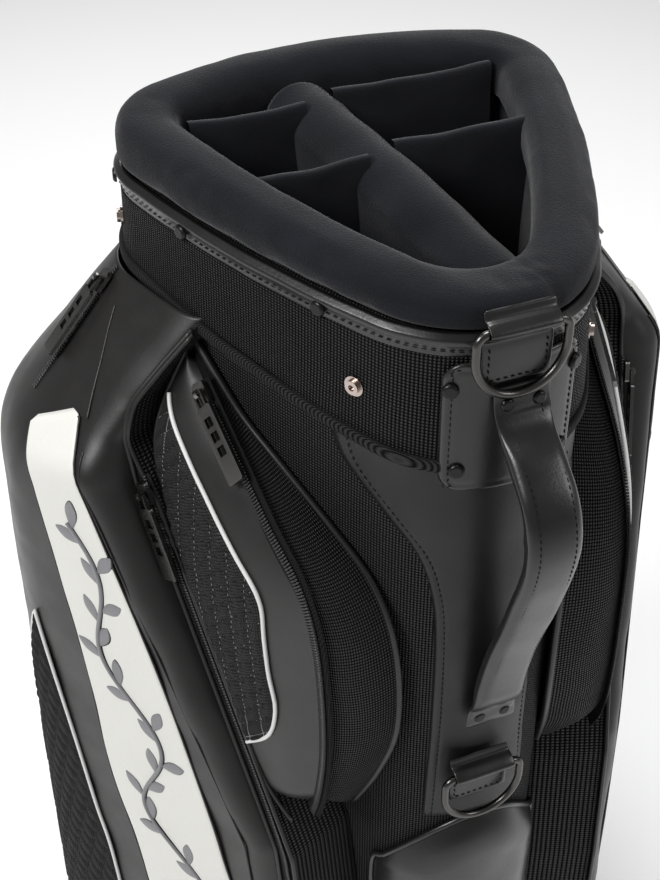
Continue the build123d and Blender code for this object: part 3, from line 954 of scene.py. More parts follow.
@dataclass
class Collar:
    """Leather trim under the cuff, the nylon collar and its binding."""

    trim_height: float = 15.0

    def trim(self) -> bpy.types.Object:
        """Glossy leather band with a fat rolled top edge."""

        def section(part: float, turn: float, y: float) -> tuple[float, float]:
            """Give (out, z) of the section for one part of the way round it."""
            top = trim_level(y)
            out, z = rounded(part, (-1.7, top - self.trim_height), (2.6, top + 1.0), 0.4)
            roll = math.exp(-(((z - (top - 3.4)) / 2.9) ** 2))
            spot = OUTLINE.at(turn, out, z)
            outer = 1.0 if out > 0.3 else 0.0
            return out + outer * (3.6 * roll - 0.6 + ripple(spot, 22, 0.5)), z + ripple(spot, 40, 0.7)

        piece = ring("cuff_trim_band", section, GLOSSY, (300, 30), 36)
        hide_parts("cuff_trim")
        return piece

    def trim_stitching(self) -> bpy.types.Object:
        """Thread along the lower edge of the trim."""
        spots = []
        for k in range(72):
            turn = OUTLINE.turn(k / 72)
            point = OUTLINE.at(turn, 2.7)
            point.z = trim_level(point.y) - 10.5
            spots.append(point)
        return stitches("cuff_trim_stitching", Track(spots, closed=True), outwards, DARK_THREAD, 5.2)

    def band(self) -> bpy.types.Object:
        """Ballistic nylon collar, eased over the tube with soft waves."""

        def section(part: float, turn: float, y: float) -> tuple[float, float]:
            """Give (out, z) of the section for one part of the way round it."""
            top = trim_level(y) - self.trim_height + 1
            low = skirt_level(y)
            out, z = walked(part, (-1.6, low), (1.9, top))
            spot = OUTLINE.at(turn, 0, z)
            drop = (top - z) / (top - low)
            flare = 1.8 * drop * drop if out > 0 else 0.0
            soft = (ripple(spot, 46, 1.3) + ripple(spot, 17, 0.4)) * drop if out > 0 else 0.0
            return out + flare + max(soft, -0.8), z

        piece = ring("collar_nylon", section, NYLON, (300, 60), 180)
        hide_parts("collar_band")
        return piece

    def hem(self) -> bpy.types.Object:
        """Ribbed binding folded over the collar's lower edge."""

        def section(part: float, turn: float, y: float) -> tuple[float, float]:
            """Give (out, z) of the section for one part of the way round it."""
            low = skirt_level(y) - 2
            out, z = rounded(part, (1.6, low), (6.4, low + 9), 0.7)
            spot = OUTLINE.at(turn, 0, z)
            return out + ripple(spot, 30, 0.5), z + ripple(spot, 55, 1.0)

        piece = ring("collar_binding", section, BINDING, (300, 14), 26)
        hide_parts("collar_hem")
        return piece

    def hem_stitching(self) -> bpy.types.Object:
        """Thread that holds the binding."""
        spots = []
        for k in range(72):
            point = OUTLINE.at(OUTLINE.turn(k / 72), 5.3)
            point.z = skirt_level(point.y) + 5.5
            spots.append(point)
        return stitches("collar_binding_stitching", Track(spots, closed=True), outwards, DARK_THREAD, 4.4)

    def build(self) -> None:
        """Make the collar."""
        ride(self.trim(), self.trim_stitching(), self.band(), self.hem(), self.hem_stitching())


# ------------------------------------------------------------------ tube


@dataclass
class Tube:
    """The mesh-covered body tube."""

    low: float = 12.0

    def build(self) -> None:
        """Make the tube's cover."""

        def section(part: float, turn: float, y: float) -> tuple[float, float]:
            """Give (out, z) of the section for one part of the way round it."""
            out, z = walked(part, (-7.0, self.low), (-1.0, trim_level(y) - 1))
            spot = OUTLINE.at(turn, out, z)
            return out + (ripple(spot, 80, 0.9) if out > -3 else 0.0), z

        piece = ring("mesh_body_cover", section, MESH, (240, 140), 1680)
        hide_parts("body_shell")
        ride(piece)


# ------------------------------------------------------------------ spine


@dataclass
class Spine:
    """Leather panel, patch, handle, ring straps and back pad along the spine."""

    panel_edge: tuple[tuple[float, float], ...] = (
        (86, -88), (82, -125), (66, -155), (50, -182), (41, -212), (37, -250), (36, -330), (38, -425),
    )
    patch_half: float = 43.0
    patch_low: float = 722.0
    patch_high: float = 812.0
    patch_round: float = 13.0
    handle_width: float = 36.0
    ring_x: float = -5.0
    handle_thick: float = 13.0
    handle_path: tuple[tuple[float, float], ...] = (
        (-208.2, 797), (-208.3, 784), (-214, 772), (-229, 757), (-246, 741), (-255, 722),
        (-255, 700), (-244, 662), (-224, 604), (-214, 566), (-211, 548), (-206.6, 536), (-206, 520),
    )
    strap_width: float = 44.0
    strap_thick: float = 2.2

    def on_spine(self, x: float, out: float, z: float) -> Vector:
        """Point on the spine side at that x."""
        turn = OUTLINE.turn_at_x(x, out) if abs(x) < 66 else self.turn_beyond(x, out)
        return OUTLINE.at(turn, out, z)

    def turn_beyond(self, x: float, out: float) -> float:
        """Normal angle of a point past the spine arc, on a side wall.

        Args:
            x: X in mm.
            out: Distance outside the outline in mm.

        Returns:
            The normal angle in radians.
        """
        low, high = 1.9, math.pi
        while high - low > 1e-5:
            half = (low + high) / 2
            low, high = (half, high) if OUTLINE.at(half, out).x > abs(x) else (low, half)
        return math.copysign(low, x)

    def panel(self) -> bpy.types.Object:
        """Smooth leather down the spine, wide under the collar and narrow by the handle."""
        edge = Track([(w, 0, z) for w, z in self.panel_edge])

        def place(across: float, down: float) -> Vector:
            """Point in mm for the two shares of the grid."""
            half = edge.at(down)
            x = (2 * across - 1) * half.x
            rim = min(across, 1 - across) * 2 * half.x
            out = -0.9 + 2.2 * min(1.0, rim / 2.5) ** 0.5 - 0.5 * math.exp(-(((rim - 5) / 1.2) ** 2))
            spot = Vector((x, 0, half.z))
            return self.on_spine(x, out + ripple(spot, 45, 0.8), REF + half.z)

        piece = mapped("spine_leather_panel", (70, 120), place, SPINE, inside=AXIS, wall=1.2)
        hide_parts("spine_panel")
        return piece

    def panel_stitching(self, side: int) -> bpy.types.Object:
        """Thread down one edge of the spine panel."""
        points = [self.on_spine(side * (w - 5), 1.2, REF + z) for w, z in self.panel_edge]
        word = "left" if side < 0 else "right"
        return stitches(f"spine_panel_stitching_{word}", Track(points), outwards, DARK_THREAD, 4.6)

    def patch_width(self, z: float) -> float:
        """Half width of the handle patch at height z.

        Args:
            z: Height in mm.

        Returns:
            The half width in mm.
        """
        near = min(z - self.patch_low, self.patch_high - z)
        if near >= self.patch_round:
            return self.patch_half
        gap = self.patch_round - max(0.0, near)
        return self.patch_half - self.patch_round + math.sqrt(self.patch_round**2 - gap**2)

    def patch(self) -> bpy.types.Object:
        """Thick leather patch that carries the handle and the upper ring."""

        def place(across: float, up: float) -> Vector:
            """Point in mm for the two shares of the grid."""
            z = self.patch_low + (self.patch_high - self.patch_low) * up
            half = self.patch_width(z)
            x = (2 * across - 1) * half
            near = min((1 - abs(2 * across - 1)) * half, z - self.patch_low, self.patch_high - z)
            out = 5.0 + 1.5 * min(1.0, near / 2.2) ** 0.5 - 0.45 * math.exp(-(((near - 5) / 1.3) ** 2))
            return self.on_spine(x, out, z)

        piece = mapped("handle_patch_leather", (60, 60), place, GLOSSY, inside=AXIS, wall=1.8)
        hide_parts("handle_patch")
        return piece

    def patch_stitching(self) -> bpy.types.Object:
        """Thread round the patch, close to its edge."""
        inset = 4.6
        low, high = self.patch_low + inset, self.patch_high - inset
        points = []
        for k in range(19):
            z = low + (high - low) * k / 18
            points.append(self.on_spine(self.patch_width(z) - inset, 6.4, z))
        points += [Vector((-p.x, p.y, p.z)) for p in reversed(points)]
        return stitches("handle_patch_stitching", Track(points, closed=True), outwards, DARK_THREAD, 4.4)

    def strap(
        self,
        name: str,
        path: Sequence[tuple[float, float]],
        width: float,
        thick: Callable[[float], float],
        finish: Finish,
        counts: tuple[int, int],
        middle: float = 0.0,
    ) -> tuple[bpy.types.Object, Callable[[float, float], tuple[Vector, Vector]]]:
        """A leather strap along a (y, z) path.

        Args:
            name: The piece's name.
            path: Middle line in mm.
            width: Width in mm.
            thick: Thickness in mm at each part of the length.
            finish: Its material.
            counts: Segments along and round.
            middle: x of its middle line.

        Returns:
            The piece, and a function from (part, x) to a point on its face and the way out.
        """
        track = Track([(middle, y, z) for y, z in path])

        def frame_at(part: float) -> tuple[Vector, Vector]:
            """Middle point of the strap at that part, and the way out."""
            along = track.heading(part)
            return track.at(part), Vector((0, along.z, -along.y))

        def place(part: float, round_it: float) -> Vector:
            """Point in mm for the two shares of the grid."""
            centre, out = frame_at(part)
            end = min(1.0, min(part, 1 - part) * track.length / 1.2)
            across, lift = rounded(round_it, (-width / 2, -0.5), (width / 2, 0.5), 0.42)
            edge = 1 - (2 * across / width) ** 4
            height = lift * thick(part) * (0.35 + 0.65 * max(0.0, edge) ** 0.5)
            wobble = ripple(Vector((across, centre.y, centre.z)), 26, 0.5)
            return centre + Vector((across * (0.94 + 0.06 * end), 0, 0)) + out * (height * end + wobble)

        def face(part: float, x: float) -> tuple[Vector, Vector]:
            """Point on the strap's face at (part, x), and the way out."""
            centre, out = frame_at(part)
            edge = 1 - (2 * x / width) ** 4
            lift = 0.5 * thick(part) * (0.35 + 0.65 * max(0.0, edge) ** 0.5)
            return centre + Vector((x, 0, 0)) + out * (lift + 0.2), out

        piece = mapped(name, counts, place, finish, (track.length, 2 * width), wrap=True)
        return piece, face

    def handle(self) -> tuple[bpy.types.Object, bpy.types.Object]:
        """Padded carry handle, bowed out from the spine, and its two rows of stitches."""

        def thick(part: float) -> float:
            """Thickness in mm at that part of the length."""
            grip = ease((part - 0.07) / 0.1) * ease((0.94 - part) / 0.08)
            return 3.0 + (self.handle_thick - 3.0) * grip

        piece, face = self.strap(
            "carry_handle", self.handle_path, self.handle_width, thick, GLOSSY, (150, 36)
        )
        inflate(piece, 2.0, 0.8)
        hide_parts("handle")
        spots = []
        for side in (-1, 1):
            x = side * (self.handle_width / 2 - 6.5)
            for k in range(74):
                part = 0.03 + 0.94 * k / 73
                point, out = face(part, x)
                ahead, _ = face(part + 0.01, x)
                spots.append((point, (ahead - point).normalized(), out))
        thread = beads("handle_stitching", spots, (3.2, 0.9, 0.8), DARK_THREAD)
        return piece, thread

    def ring_strap(self, name: str, bar: float, drop: float, back: float) -> tuple[bpy.types.Object, ...]:
        """Leather folded round a ring's bar, then sewn flat to the spine below it.

        Args:
            name: The piece's name.
            bar: Height of the ring's bar in mm.
            drop: Length of the strap below the bar.
            back: Y of the surface behind it.

        Returns:
            The strap and its stitching.
        """
        bar_y = -211.5
        wrap = 4.3
        path = [(back, bar + 11), (back - 2.2, bar + 6), (bar_y, bar + wrap), (bar_y - wrap, bar)]
        flat = back - 1.2
        path += [(bar_y, bar - wrap), (flat, bar - 8.5), (flat, bar - 16), (flat, bar - drop)]

        def thick(part: float) -> float:
            """Thickness in mm at that part of the length."""
            return self.strap_thick

        piece, _ = self.strap(name + "_loop", path, self.strap_width, thick, GLOSSY, (90, 28), self.ring_x)
        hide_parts(name)
        half = self.strap_width / 2 - 4
        front = back - 2.7
        left, right = self.ring_x - half, self.ring_x + half
        rows = [Vector((left, front, bar - 12)), Vector((left, front, bar - drop + 4))]
        rows += [Vector((right, front, bar - drop + 4)), Vector((right, front, bar - 12))]
        spots = []
        for a, b in zip(rows, rows[1:]):
            count = max(2, round((b - a).length / 4.4))
            for k in range(count):
                spots.append((a.lerp(b, (k + 0.5) / count), (b - a).normalized(), Vector((0, -1, 0))))
        return piece, beads(name + "_stitching", spots, (3.1, 0.9, 0.8), DARK_THREAD)

    def back_pad(self) -> tuple[bpy.types.Object, bpy.types.Object]:
        """Puffy glossy pad low on the spine, and the piping round it."""
        half = 66.0
        low = 120.0

        def top(x: float) -> float:
            """Height of the pad's top edge at x."""
            return 421 - 44 * (x / 57) ** 2

        def place(across: float, up: float) -> Vector:
            """Point in mm for the two shares of the grid."""
            x = (2 * across - 1) * half
            z = low + (top(x) - low) * up
            near = min((1 - abs(2 * across - 1)) * half, z - low, top(x) - z)
            puff = 13.5 * (1 - (1 - min(1.0, near / 34)) ** 2.4)
            spot = Vector((x, 0, z))
            return self.on_spine(x, 0.5 + puff + ripple(spot, 40, 1.2) * min(1.0, near / 12), z)

        piece = mapped("back_pad_leather", (60, 110), place, GLOSSY, inside=AXIS, wall=1.5)
        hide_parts("back_pad")
        points = [self.on_spine(half * k / 12, 1.5, top(half * k / 12)) for k in range(-12, 13)]
        points += [self.on_spine(half, 1.5, z) for z in (300, 220, low)]
        points += [self.on_spine(half * k / 4, 1.5, low) for k in (2, 0, -2)]
        points += [self.on_spine(-half, 1.5, z) for z in (low, 220, 300)]
        loop = Track(points, closed=True).points(220)[:-1]
        cord = curve_piece("back_pad_piping", loop, 2.3, GLOSSY, closed=True)
        return piece, cord

    def build(self) -> None:
        """Make everything on the spine."""
        ride(self.panel(), self.panel_stitching(-1), self.panel_stitching(1))
        ride(self.patch(), self.patch_stitching(), *self.handle())
        ride(*self.ring_strap("upper_ring_strap", 837.0, 38.0, -205.4))
        ride(*self.ring_strap("lower_ring_strap", 480.0, 30.0, -203.6))
        ride(*self.back_pad())


# ------------------------------------------------------------------ zips


@dataclass
class Zip:
    """One zip: coil, tape and the line that its slider runs on."""

    name: str
    suffix: str
    before: float
    after: float
    tail: tuple[Vector, ...] = ()
    tape_half: float = 7.0
    pin_height: float = 5.4
    chain_depth: float = 1.5

    def __post_init__(self) -> None:
        """Read the slider's line from the joints."""
        joints = {j["name"]: j for j in frame["joints"]}
        slide = joints[f"{self.name}_zip_slide{self.suffix}"]
        hinge = joints[f"{self.name}_pull_hinge{self.suffix}"]
        self.along = Vector(slide["axis"]).normalized()
        self.out = Vector(hinge["axis"]).cross(self.along).normalized()
        self.seat = Vector(hinge["pos_m"]) / MM - self.out * self.pin_height
        start = self.seat - self.along * self.before - self.out * self.chain_depth
        end = self.seat + self.along * self.after - self.out * self.chain_depth
        self.track = Track([start, start.lerp(end, 0.5), end, *self.tail])

    def build(self) -> None:
        """Make the tape and the teeth, in place of the straight CAD bar."""
        label = self.name + self.suffix

        def place(across: float, down: float) -> Vector:
            """Point in mm for the two shares of the grid."""
            along = self.track.heading(down)
            side = self.out.cross(along).normalized()
            offset = 2 * across - 1
            sink = self.out * (0.9 + 0.5 * offset * offset)
            return self.track.at(down) + side * (offset * self.tape_half) - sink

        count = max(8, round(self.track.length / 5))
        tape = mapped(f"{label}_tape", (8, count), place, TAPE, inside=self.seat - self.out * 60, wall=0.7)
        pitch = 2.1
        spots = []
        for k in range(round(self.track.length / pitch)):
            part = (k + 0.5) * pitch / self.track.length
            spots.append((self.track.at(part), self.track.heading(part), self.out))
        teeth = beads(f"{label}_teeth", spots, (1.3, 5.6, 1.9), COIL, square=True)
        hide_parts(f"{self.name}_zip{self.suffix}")
        ride(tape, teeth)


# ------------------------------------------------------------------ pockets on the sides


def soft_min(a: float, b: float, blend: float) -> float:
    """The smaller of two values, rounded over where they meet."""
    h = max(blend - abs(a - b), 0.0) / blend
    return min(a, b) - h * h * blend / 4


@dataclass(frozen=True)
class Wall:
    """Frame of a flat side wall: u towards the spine, v outwards, z from the rim reference."""

    side: int
    start: tuple[float, float] = (-149.4, 32.5)
    run: tuple[float, float] = (0.38669, -0.92221)

    def at(self, u: float, v: float, z: float) -> Vector:
        """Point in the bag's frame."""
        x = self.start[0] + self.run[0] * u + self.run[1] * v
        y = self.start[1] + self.run[1] * u - self.run[0] * v
        return Vector((-self.side * x, y, REF + z))

    @property
    def out(self) -> Vector:
        """Direction straight out of the wall."""
        return Vector((-self.side * self.run[1], -self.run[0], 0))

    def split(self, point: Vector) -> tuple[float, float]:
        """(u, v) of a point in the bag's frame."""
        x = -self.side * point.x - self.start[0]
        y = point.y - self.start[1]
        return x * self.run[0] + y * self.run[1], x * self.run[1] - y * self.run[0]

    @property
    def heart(self) -> Vector:
        """A point behind the wall, inside the tube."""
        return self.at(100, -60, -350)

    @property
    def word(self) -> str:
        """left or right."""
        return "left" if self.side < 0 else "right"


def closing(down: float, last: float = 0.1) -> float:
    """Share of its depth that a pocket keeps at down, rounding off over its last part."""
    return math.sqrt(max(0.0, 1 - (max(0.0, down - (1 - last)) / last) ** 2))


def quilt_relief(x: float, y: float, cell: float, depth: float) -> float:
    """Height of diamond quilting at (x, y) mm."""
    a = abs(math.sin(math.pi * (x / cell + y / (1.7 * cell))))
    b = abs(math.sin(math.pi * (x / cell - y / (1.7 * cell))))
    return depth * min(1.0, (a * b) ** 0.5 * 1.25)


@dataclass
class SidePocket:
    """Curved pocket beside the spine: quilted inlay, leather strip, zip and mesh gusset."""

    side: int
    cell: float = 15.0
    puff: float = 3.4
    left: tuple[Point, ...] = (
        (60, 14, -104), (55, 30, -135), (58, 44, -165), (74, 52, -205), (96, 57, -245), (130, 58, -315),
        (150, 58, -363), (167, 56, -400), (184, 50, -428),
    )
    zip_line: tuple[Point, ...] = (
        (66, 13, -110), (84, 19, -124), (119, 29, -150), (155, 38, -176.5), (190, 44, -206), (206, 46, -240),
        (212, 46, -290), (213, 46, -340), (207, 45, -385), (196, 40, -416),
    )
    seam: tuple[Point, ...] = (
        (60, 8, -98), (82, 9, -117), (106, 9, -138), (141, 8, -160), (181, 5, -188), (210, 2, -213),
        (228, 0.5, -246), (235, -1, -291), (234, -1, -340), (220, 1, -388), (200, 2, -432),
    )
    white: tuple[Point, ...] = (
        (58, 25, -132), (84, 32, -158), (118, 42, -188), (150, 52, -215), (164, 57, -232), (170, 58, -276),
        (177, 58, -308), (177, 58, -334), (168, 58, -348), (151, 58, -365),
    )

    def __post_init__(self) -> None:
        """Prepare the key lines."""
        self.wall = Wall(self.side)
        self.edge = Track(self.left)
        self.zipper = Track(self.zip_line)
        self.outer = Track(self.seam)
        spots = [self.locate(Vector(p)) for p in Track(self.white).points(11)]
        self.inlay = [(p.x, p.y) for p in Track([(a, d, 0) for a, d in spots]).points(60)]

    def face_spot(self, across: float, down: float) -> Vector:
        """(u, v, z) of the face, from the edge at 0 to the zip at 1."""
        spot = self.edge.at(down).lerp(self.zipper.at(down), across)
        close = closing(down)
        spot.y = (spot.y + 3.5 * math.sin(math.pi * across)) * close
        return spot

    def locate(self, aim: Vector) -> tuple[float, float]:
        """(across, down) of the face point that lies over aim's u and z.

        Args:
            aim: (u, v, z) to look for.

        Returns:
            (across, down), each 0 to 1.
        """
        best = (0.0, 0.0)
        least = math.inf
        rows, columns = 400, 100
        for j in range(rows + 1):
            edge, zipper = self.edge.at(j / rows), self.zipper.at(j / rows)
            for k in range(columns + 1):
                x = edge.x + (zipper.x - edge.x) * k / columns
                z = edge.z + (zipper.z - edge.z) * k / columns
                gap = math.hypot(x - aim.x, z - aim.z)
                if gap < least:
                    least = gap
                    best = (k / columns, j / rows)
        return best

    def inlay_at(self, part: float) -> tuple[float, float]:
        """(across, down) of the white piping at that part of its length."""
        place = min(max(part, 0.0), 1.0) * (len(self.inlay) - 1)
        k = min(int(place), len(self.inlay) - 2)
        (a0, d0), (a1, d1) = self.inlay[max(0, k)], self.inlay[k + 1]
        return a0 + (a1 - a0) * (place - k), d0 + (d1 - d0) * (place - k)

    def world(self, spot: Vector) -> Vector:
        """(u, v, z) to the bag's frame."""
        return self.wall.at(spot.x, spot.y, spot.z)

    def face(self) -> bpy.types.Object:
        """Smooth leather face and its wall towards the garment pocket."""

        def place(across: float, down: float) -> Vector:
            """Point in mm for the two shares of the grid."""
            edge = self.edge.at(down)
            close = closing(down)
            if across < 0.2:
                rise = ease(across / 0.2)
                spot = Vector((edge.x - 1.5 * (1 - rise), edge.y * rise * close, edge.z))
            else:
                spot = self.face_spot((across - 0.2) / 0.8, down)
            return self.world(spot)

        name = f"side_pocket_face_{self.wall.word}"
        piece = mapped(name, (50, 110), place, SATIN, inside=self.wall.heart, wall=1.2)
        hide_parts(f"side_pocket_{self.wall.word}")
        return piece

    def gusset(self) -> bpy.types.Object:
        """Mesh side that swells from the zip down to the body seam."""

        def place(across: float, down: float) -> Vector:
            """Point in mm for the two shares of the grid."""
            zipper, outer = self.zipper.at(down), self.outer.at(down)
            close = closing(down)
            zipper.y *= close
            spot = zipper.lerp(outer, across)
            swell = math.sin(math.pi * across) * min(1.0, down * 2.5)
            spot.x += 4.5 * swell
            spot.y += (6.5 + ripple(spot, 36, 1.5)) * swell
            return self.world(spot)

        name = f"side_pocket_gusset_{self.wall.word}"
        return mapped(name, (34, 120), place, MESH, (64, 380), inside=self.wall.heart, wall=1.0)

    def quilt_spot(self, across: float, down: float) -> tuple[Vector, float]:
        """(u, v, z) on the quilted inlay, and the width of the inlay there.

        Args:
            across: 0 at the edge, 1 at the white piping.
            down: 0 at the top, 1 at the bottom.

        Returns:
            The point, and the width in mm.
        """
        share, row = self.inlay_at(down)
        spot = self.face_spot(share * across, row)
        width = (self.face_spot(share, row) - self.face_spot(0.0, row)).length
        rim = min(across, 1 - across) * width
        lift = quilt_relief(spot.x - spot.z * 0.45, spot.z, self.cell, self.puff) * min(1.0, rim / 4)
        spot.y += 0.9 + lift
        return spot, width

    def quilt(self) -> bpy.types.Object:
        """Diamond-quilted inlay between the garment pocket and the white piping."""

        def place(across: float, down: float) -> Vector:
            """Point in mm for the two shares of the grid."""
            return self.world(self.quilt_spot(across, down)[0])

        name = f"side_quilt_{self.wall.word}"
        piece = mapped(name, (44, 130), place, QUILT, (60, 240), inside=self.wall.heart, wall=1.5)
        return piece

    def quilt_stitching(self) -> bpy.types.Object:
        """Grey thread along the quilting lines."""
        spots = []
        rows = 108
        columns = 60
        for direction in (-1, 1):
            lean = Vector((0.45 - direction / 1.7, 0, 1)).normalized()
            along = (self.wall.at(lean.x, 0, lean.z) - self.wall.at(0, 0, 0)).normalized()
            for row in range(2, rows - 2):
                shares = [0.04 + 0.92 * k / columns for k in range(columns + 1)]
                cells = [self.quilt_spot(share, row / rows)[0] for share in shares]
                marks = [(p.x - 0.45 * p.z + direction * p.z / 1.7) / self.cell for p in cells]
                for a, b, mark, after in zip(cells, cells[1:], marks, marks[1:]):
                    if math.floor(mark) != math.floor(after):
                        middle = self.world(a.lerp(b, 0.5)) + self.wall.out * 0.4
                        spots.append((middle, along, self.wall.out))
        return beads(f"side_quilt_stitching_{self.wall.word}", spots, (2.5, 0.6, 0.5), GREY_THREAD)

    def piping(
        self, name: str, track: Track, radius: float, finish: Finish, lift: float = 0.0
    ) -> bpy.types.Object:
        """Piping along one of the pocket's key lines."""
        points = [self.world(p) + self.wall.out * lift for p in track.points(110)]
        return curve_piece(f"{name}_{self.wall.word}", points, radius, finish)

    def build(self) -> None:
        """Make the pocket."""
        ride(self.face(), self.gusset(), self.quilt(), self.quilt_stitching())
        line = [self.face_spot(*self.inlay_at(k / 110)) for k in range(111)]
        white = [self.world(spot) + self.wall.out * 1.4 for spot in line]
        ride(curve_piece(f"side_white_piping_{self.wall.word}", white, 1.5, WHITE_CORD))
        ride(self.piping("side_seam_piping", self.outer, 2.6, SATIN, 0.8))
        ride(self.piping("side_edge_piping", self.edge, 1.7, SATIN, 0.4))
        tail = [self.world(Vector(p)) + self.wall.out * 1.6 for p in self.zip_line[4:]]
        Zip("side", f"_{self.wall.word}", 8, 96, tuple(tail)).build()


@dataclass
class GarmentPocket:
    """Long pocket round the front corner: sloping shoulder, white panel, zip ledge and quilted inset."""

    side: int
    depth: float = 95.0
    ledge: float = 58.0
    top_slope: float = 0.79
    top: float = -79.0
    low: float = -778.0
    front_x: float = 96.0
    face_turn: float = 0.14
    leaf_long: float = 25.0
    leaf_wide: float = 8.5
    roll: float = 20.0
    edge_line: tuple[tuple[float, float], ...] = (
        (72, -79), (58, -108), (47, -134), (46, -160), (54, -190), (177, -458), (190, -560), (190, -800),
    )
    panel_left: tuple[Point, ...] = (
        (-33, 0, -172), (-14, 0, -200), (-8, 0, -220), (4, 0, -284), (19, 0, -369), (30, 0, -465),
        (51, 0, -547), (74, 0, -690),
    )
    panel_right: tuple[Point, ...] = (
        (10, 0, -149), (31, 0, -182), (55, 0, -238), (93, 0, -335), (126, 0, -440), (139, 0, -490),
        (155, 0, -560), (162, 0, -690),
    )

    inset_left: tuple[Point, ...] = (
        (-34, 0, -340), (-50, 0, -385), (-62, 0, -447), (-72, 0, -520), (-76, 0, -575), (-78, 0, -700),
    )
    inset_right: tuple[Point, ...] = (
        (-32, 0, -336), (-20, 0, -385), (-6, 0, -447), (8, 0, -520), (20, 0, -575), (34, 0, -700),
    )

    def __post_init__(self) -> None:
        """Prepare the wall's frame."""
        self.wall = Wall(self.side)

    def edge_at(self, z: float) -> float:
        """u of the pocket's back edge at z.

        Args:
            z: Height above the reference level.

        Returns:
            u in mm.
        """
        line = self.edge_line
        for (u0, z0), (u1, z1) in zip(line, line[1:]):
            if z <= z0 and z >= z1:
                return u0 + (u1 - u0) * (z0 - z) / (z0 - z1)
        return line[0][0] if z > line[0][1] else line[-1][0]

    def out_at(self, z: float, limit: float) -> float:
        """How far the pocket stands out at z."""
        slope = 8 + self.top_slope * (self.top - z)
        out = soft_min(slope, limit, 16)
        tuck = max(0.0, (-738 - z) / 40)
        return max(2.0, out - 30 * tuck * tuck)

    def skin(self, z: float, turn: float) -> Vector:
        """Point of the face at normal angle turn, kept under the sloping side plane."""
        spot = OUTLINE.at(self.side * turn, self.out_at(z, self.depth + 8), REF + z)
        u, v = self.wall.split(spot)
        cap = 97 - self.face_turn * (u + 10)
        return self.wall.at(u, soft_min(v, cap, 8), z) if turn > 1.2 else spot

    def turn_of(self, u: float, z: float) -> float:
        """Normal angle whose point on the pocket's face has that u.

        Args:
            u: Place along the wall in mm.
            z: Height above the reference level.

        Returns:
            The normal angle in radians.
        """
        low, high = 0.9, 2.6
        out = self.out_at(z, self.depth + 8)
        for _ in range(24):
            half = (low + high) / 2
            reach, _ = self.wall.split(OUTLINE.at(self.side * half, out))
            low, high = (half, high) if reach < u else (low, half)
        return low

    def surface(self, u: float, z: float, lift: float = 0.0) -> Vector:
        """Point of the face at (u, z), lifted off it by lift mm.

        Args:
            u: Place along the wall in mm.
            z: Height above the reference level.
            lift: Distance off the face in mm.

        Returns:
            The point in mm.
        """
        step = 1.0
        here = self.skin(z, self.turn_of(u, z))
        along = self.skin(z, self.turn_of(u + step, z)) - here
        up = self.skin(z + step, self.turn_of(u, z + step)) - here
        normal = along.cross(up).normalized()
        if normal.dot(here - self.wall.heart) < 0:
            normal.negate()
        return here + normal * lift

    def body(self) -> bpy.types.Object:
        """Leather shell, from the front seam round the corner to the back edge."""

        def place(across: float, down: float) -> Vector:
            """Point in mm for the two shares of the grid."""
            z = self.top + (self.low - self.top) * (0.35 * down + 0.65 * down**1.25)
            out = self.out_at(z, self.depth)
            first = math.asin(self.front_x / (340 + out))
            last = self.turn_of(self.edge_at(z) - self.roll, z)
            bend = 0.12
            if across < bend:
                rise = across / bend
                start = OUTLINE.at(self.side * first, out * math.sin(rise * math.pi / 2) ** 0.6, REF + z)
                start.x = self.side * (self.front_x + 3 * rise * rise)
                return start
            share = min(1.0, (across - bend) / (1 - 2 * bend))
            spot = self.skin(z, first + (last - first) * share + 0.02 * (1 - share))
            if across > 1 - bend:
                rise = (across - 1 + bend) / bend
                u, v = self.wall.split(spot)
                base = min(v, self.out_at(z, self.ledge)) - 2
                turn = rise * math.pi / 2
                reach = (self.edge_at(z) - u) * math.sin(turn)
                spot = self.wall.at(u + reach, base + (v - base) * math.cos(turn) ** 0.8, z)
            soft = ripple(spot, 60, 2.2) + ripple(spot, 22, 0.5)
            return spot + outwards(spot) * soft * min(1.0, out / 40)

        name = f"garment_pocket_shell_{self.wall.word}"
        piece = mapped(name, (130, 170), place, SATIN, inside=self.wall.heart, wall=1.5)
        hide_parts(f"garment_pocket_{self.wall.word}")
        return piece

    def ledge_strip(self) -> bpy.types.Object:
        """Mesh ledge that carries the zip, and its wall down to the tube."""

        def place(across: float, down: float) -> Vector:
            """Point in mm for the two shares of the grid."""
            z = self.top - 6 + (self.low + 20 - self.top) * down
            v = self.out_at(z, self.ledge)
            edge = self.edge_at(z)
            width = self.ledge_width(z)
            if across < 0.55:
                u = edge - 4 + (width + 2) * across / 0.55
                return self.wall.at(u, v + 0.3 * math.sin(across * 5), z)
            drop = (across - 0.55) / 0.45
            return self.wall.at(edge + width - 2 + 1.5 * ease(drop), v * (1 - drop), z)

        name = f"garment_ledge_{self.wall.word}"
        return mapped(name, (22, 150), place, MESH, (75, 690), inside=self.wall.at(-60, -60, -400), wall=1.0)

    def ledge_width(self, z: float) -> float:
        """Width of the zip ledge, which runs out under the shoulder."""
        return 3 + 14 * ease((-160 - z) / 45)

    def panel(self) -> bpy.types.Object:
        """Cream-white leather panel down the pocket's face."""
        left, right = Track(self.panel_left), Track(self.panel_right)

        def place(across: float, down: float) -> Vector:
            """Point in mm for the two shares of the grid."""
            a, b = left.at(down), right.at(down)
            round_off = 7.0
            near = min(down, 1 - down) * left.length
            if near < round_off:
                pull = (round_off - math.sqrt(round_off**2 - (round_off - near) ** 2)) / (b - a).length
                across = pull + (1 - 2 * pull) * across
            spot = a.lerp(b, across)
            rim = min(min(across, 1 - across) * (b - a).length, near)
            lift = 0.4 + 1.5 * min(1.0, rim / 1.8) ** 0.5
            return self.surface(spot.x, spot.z, lift) + self.wall.out * ripple(spot, 50, 0.7)

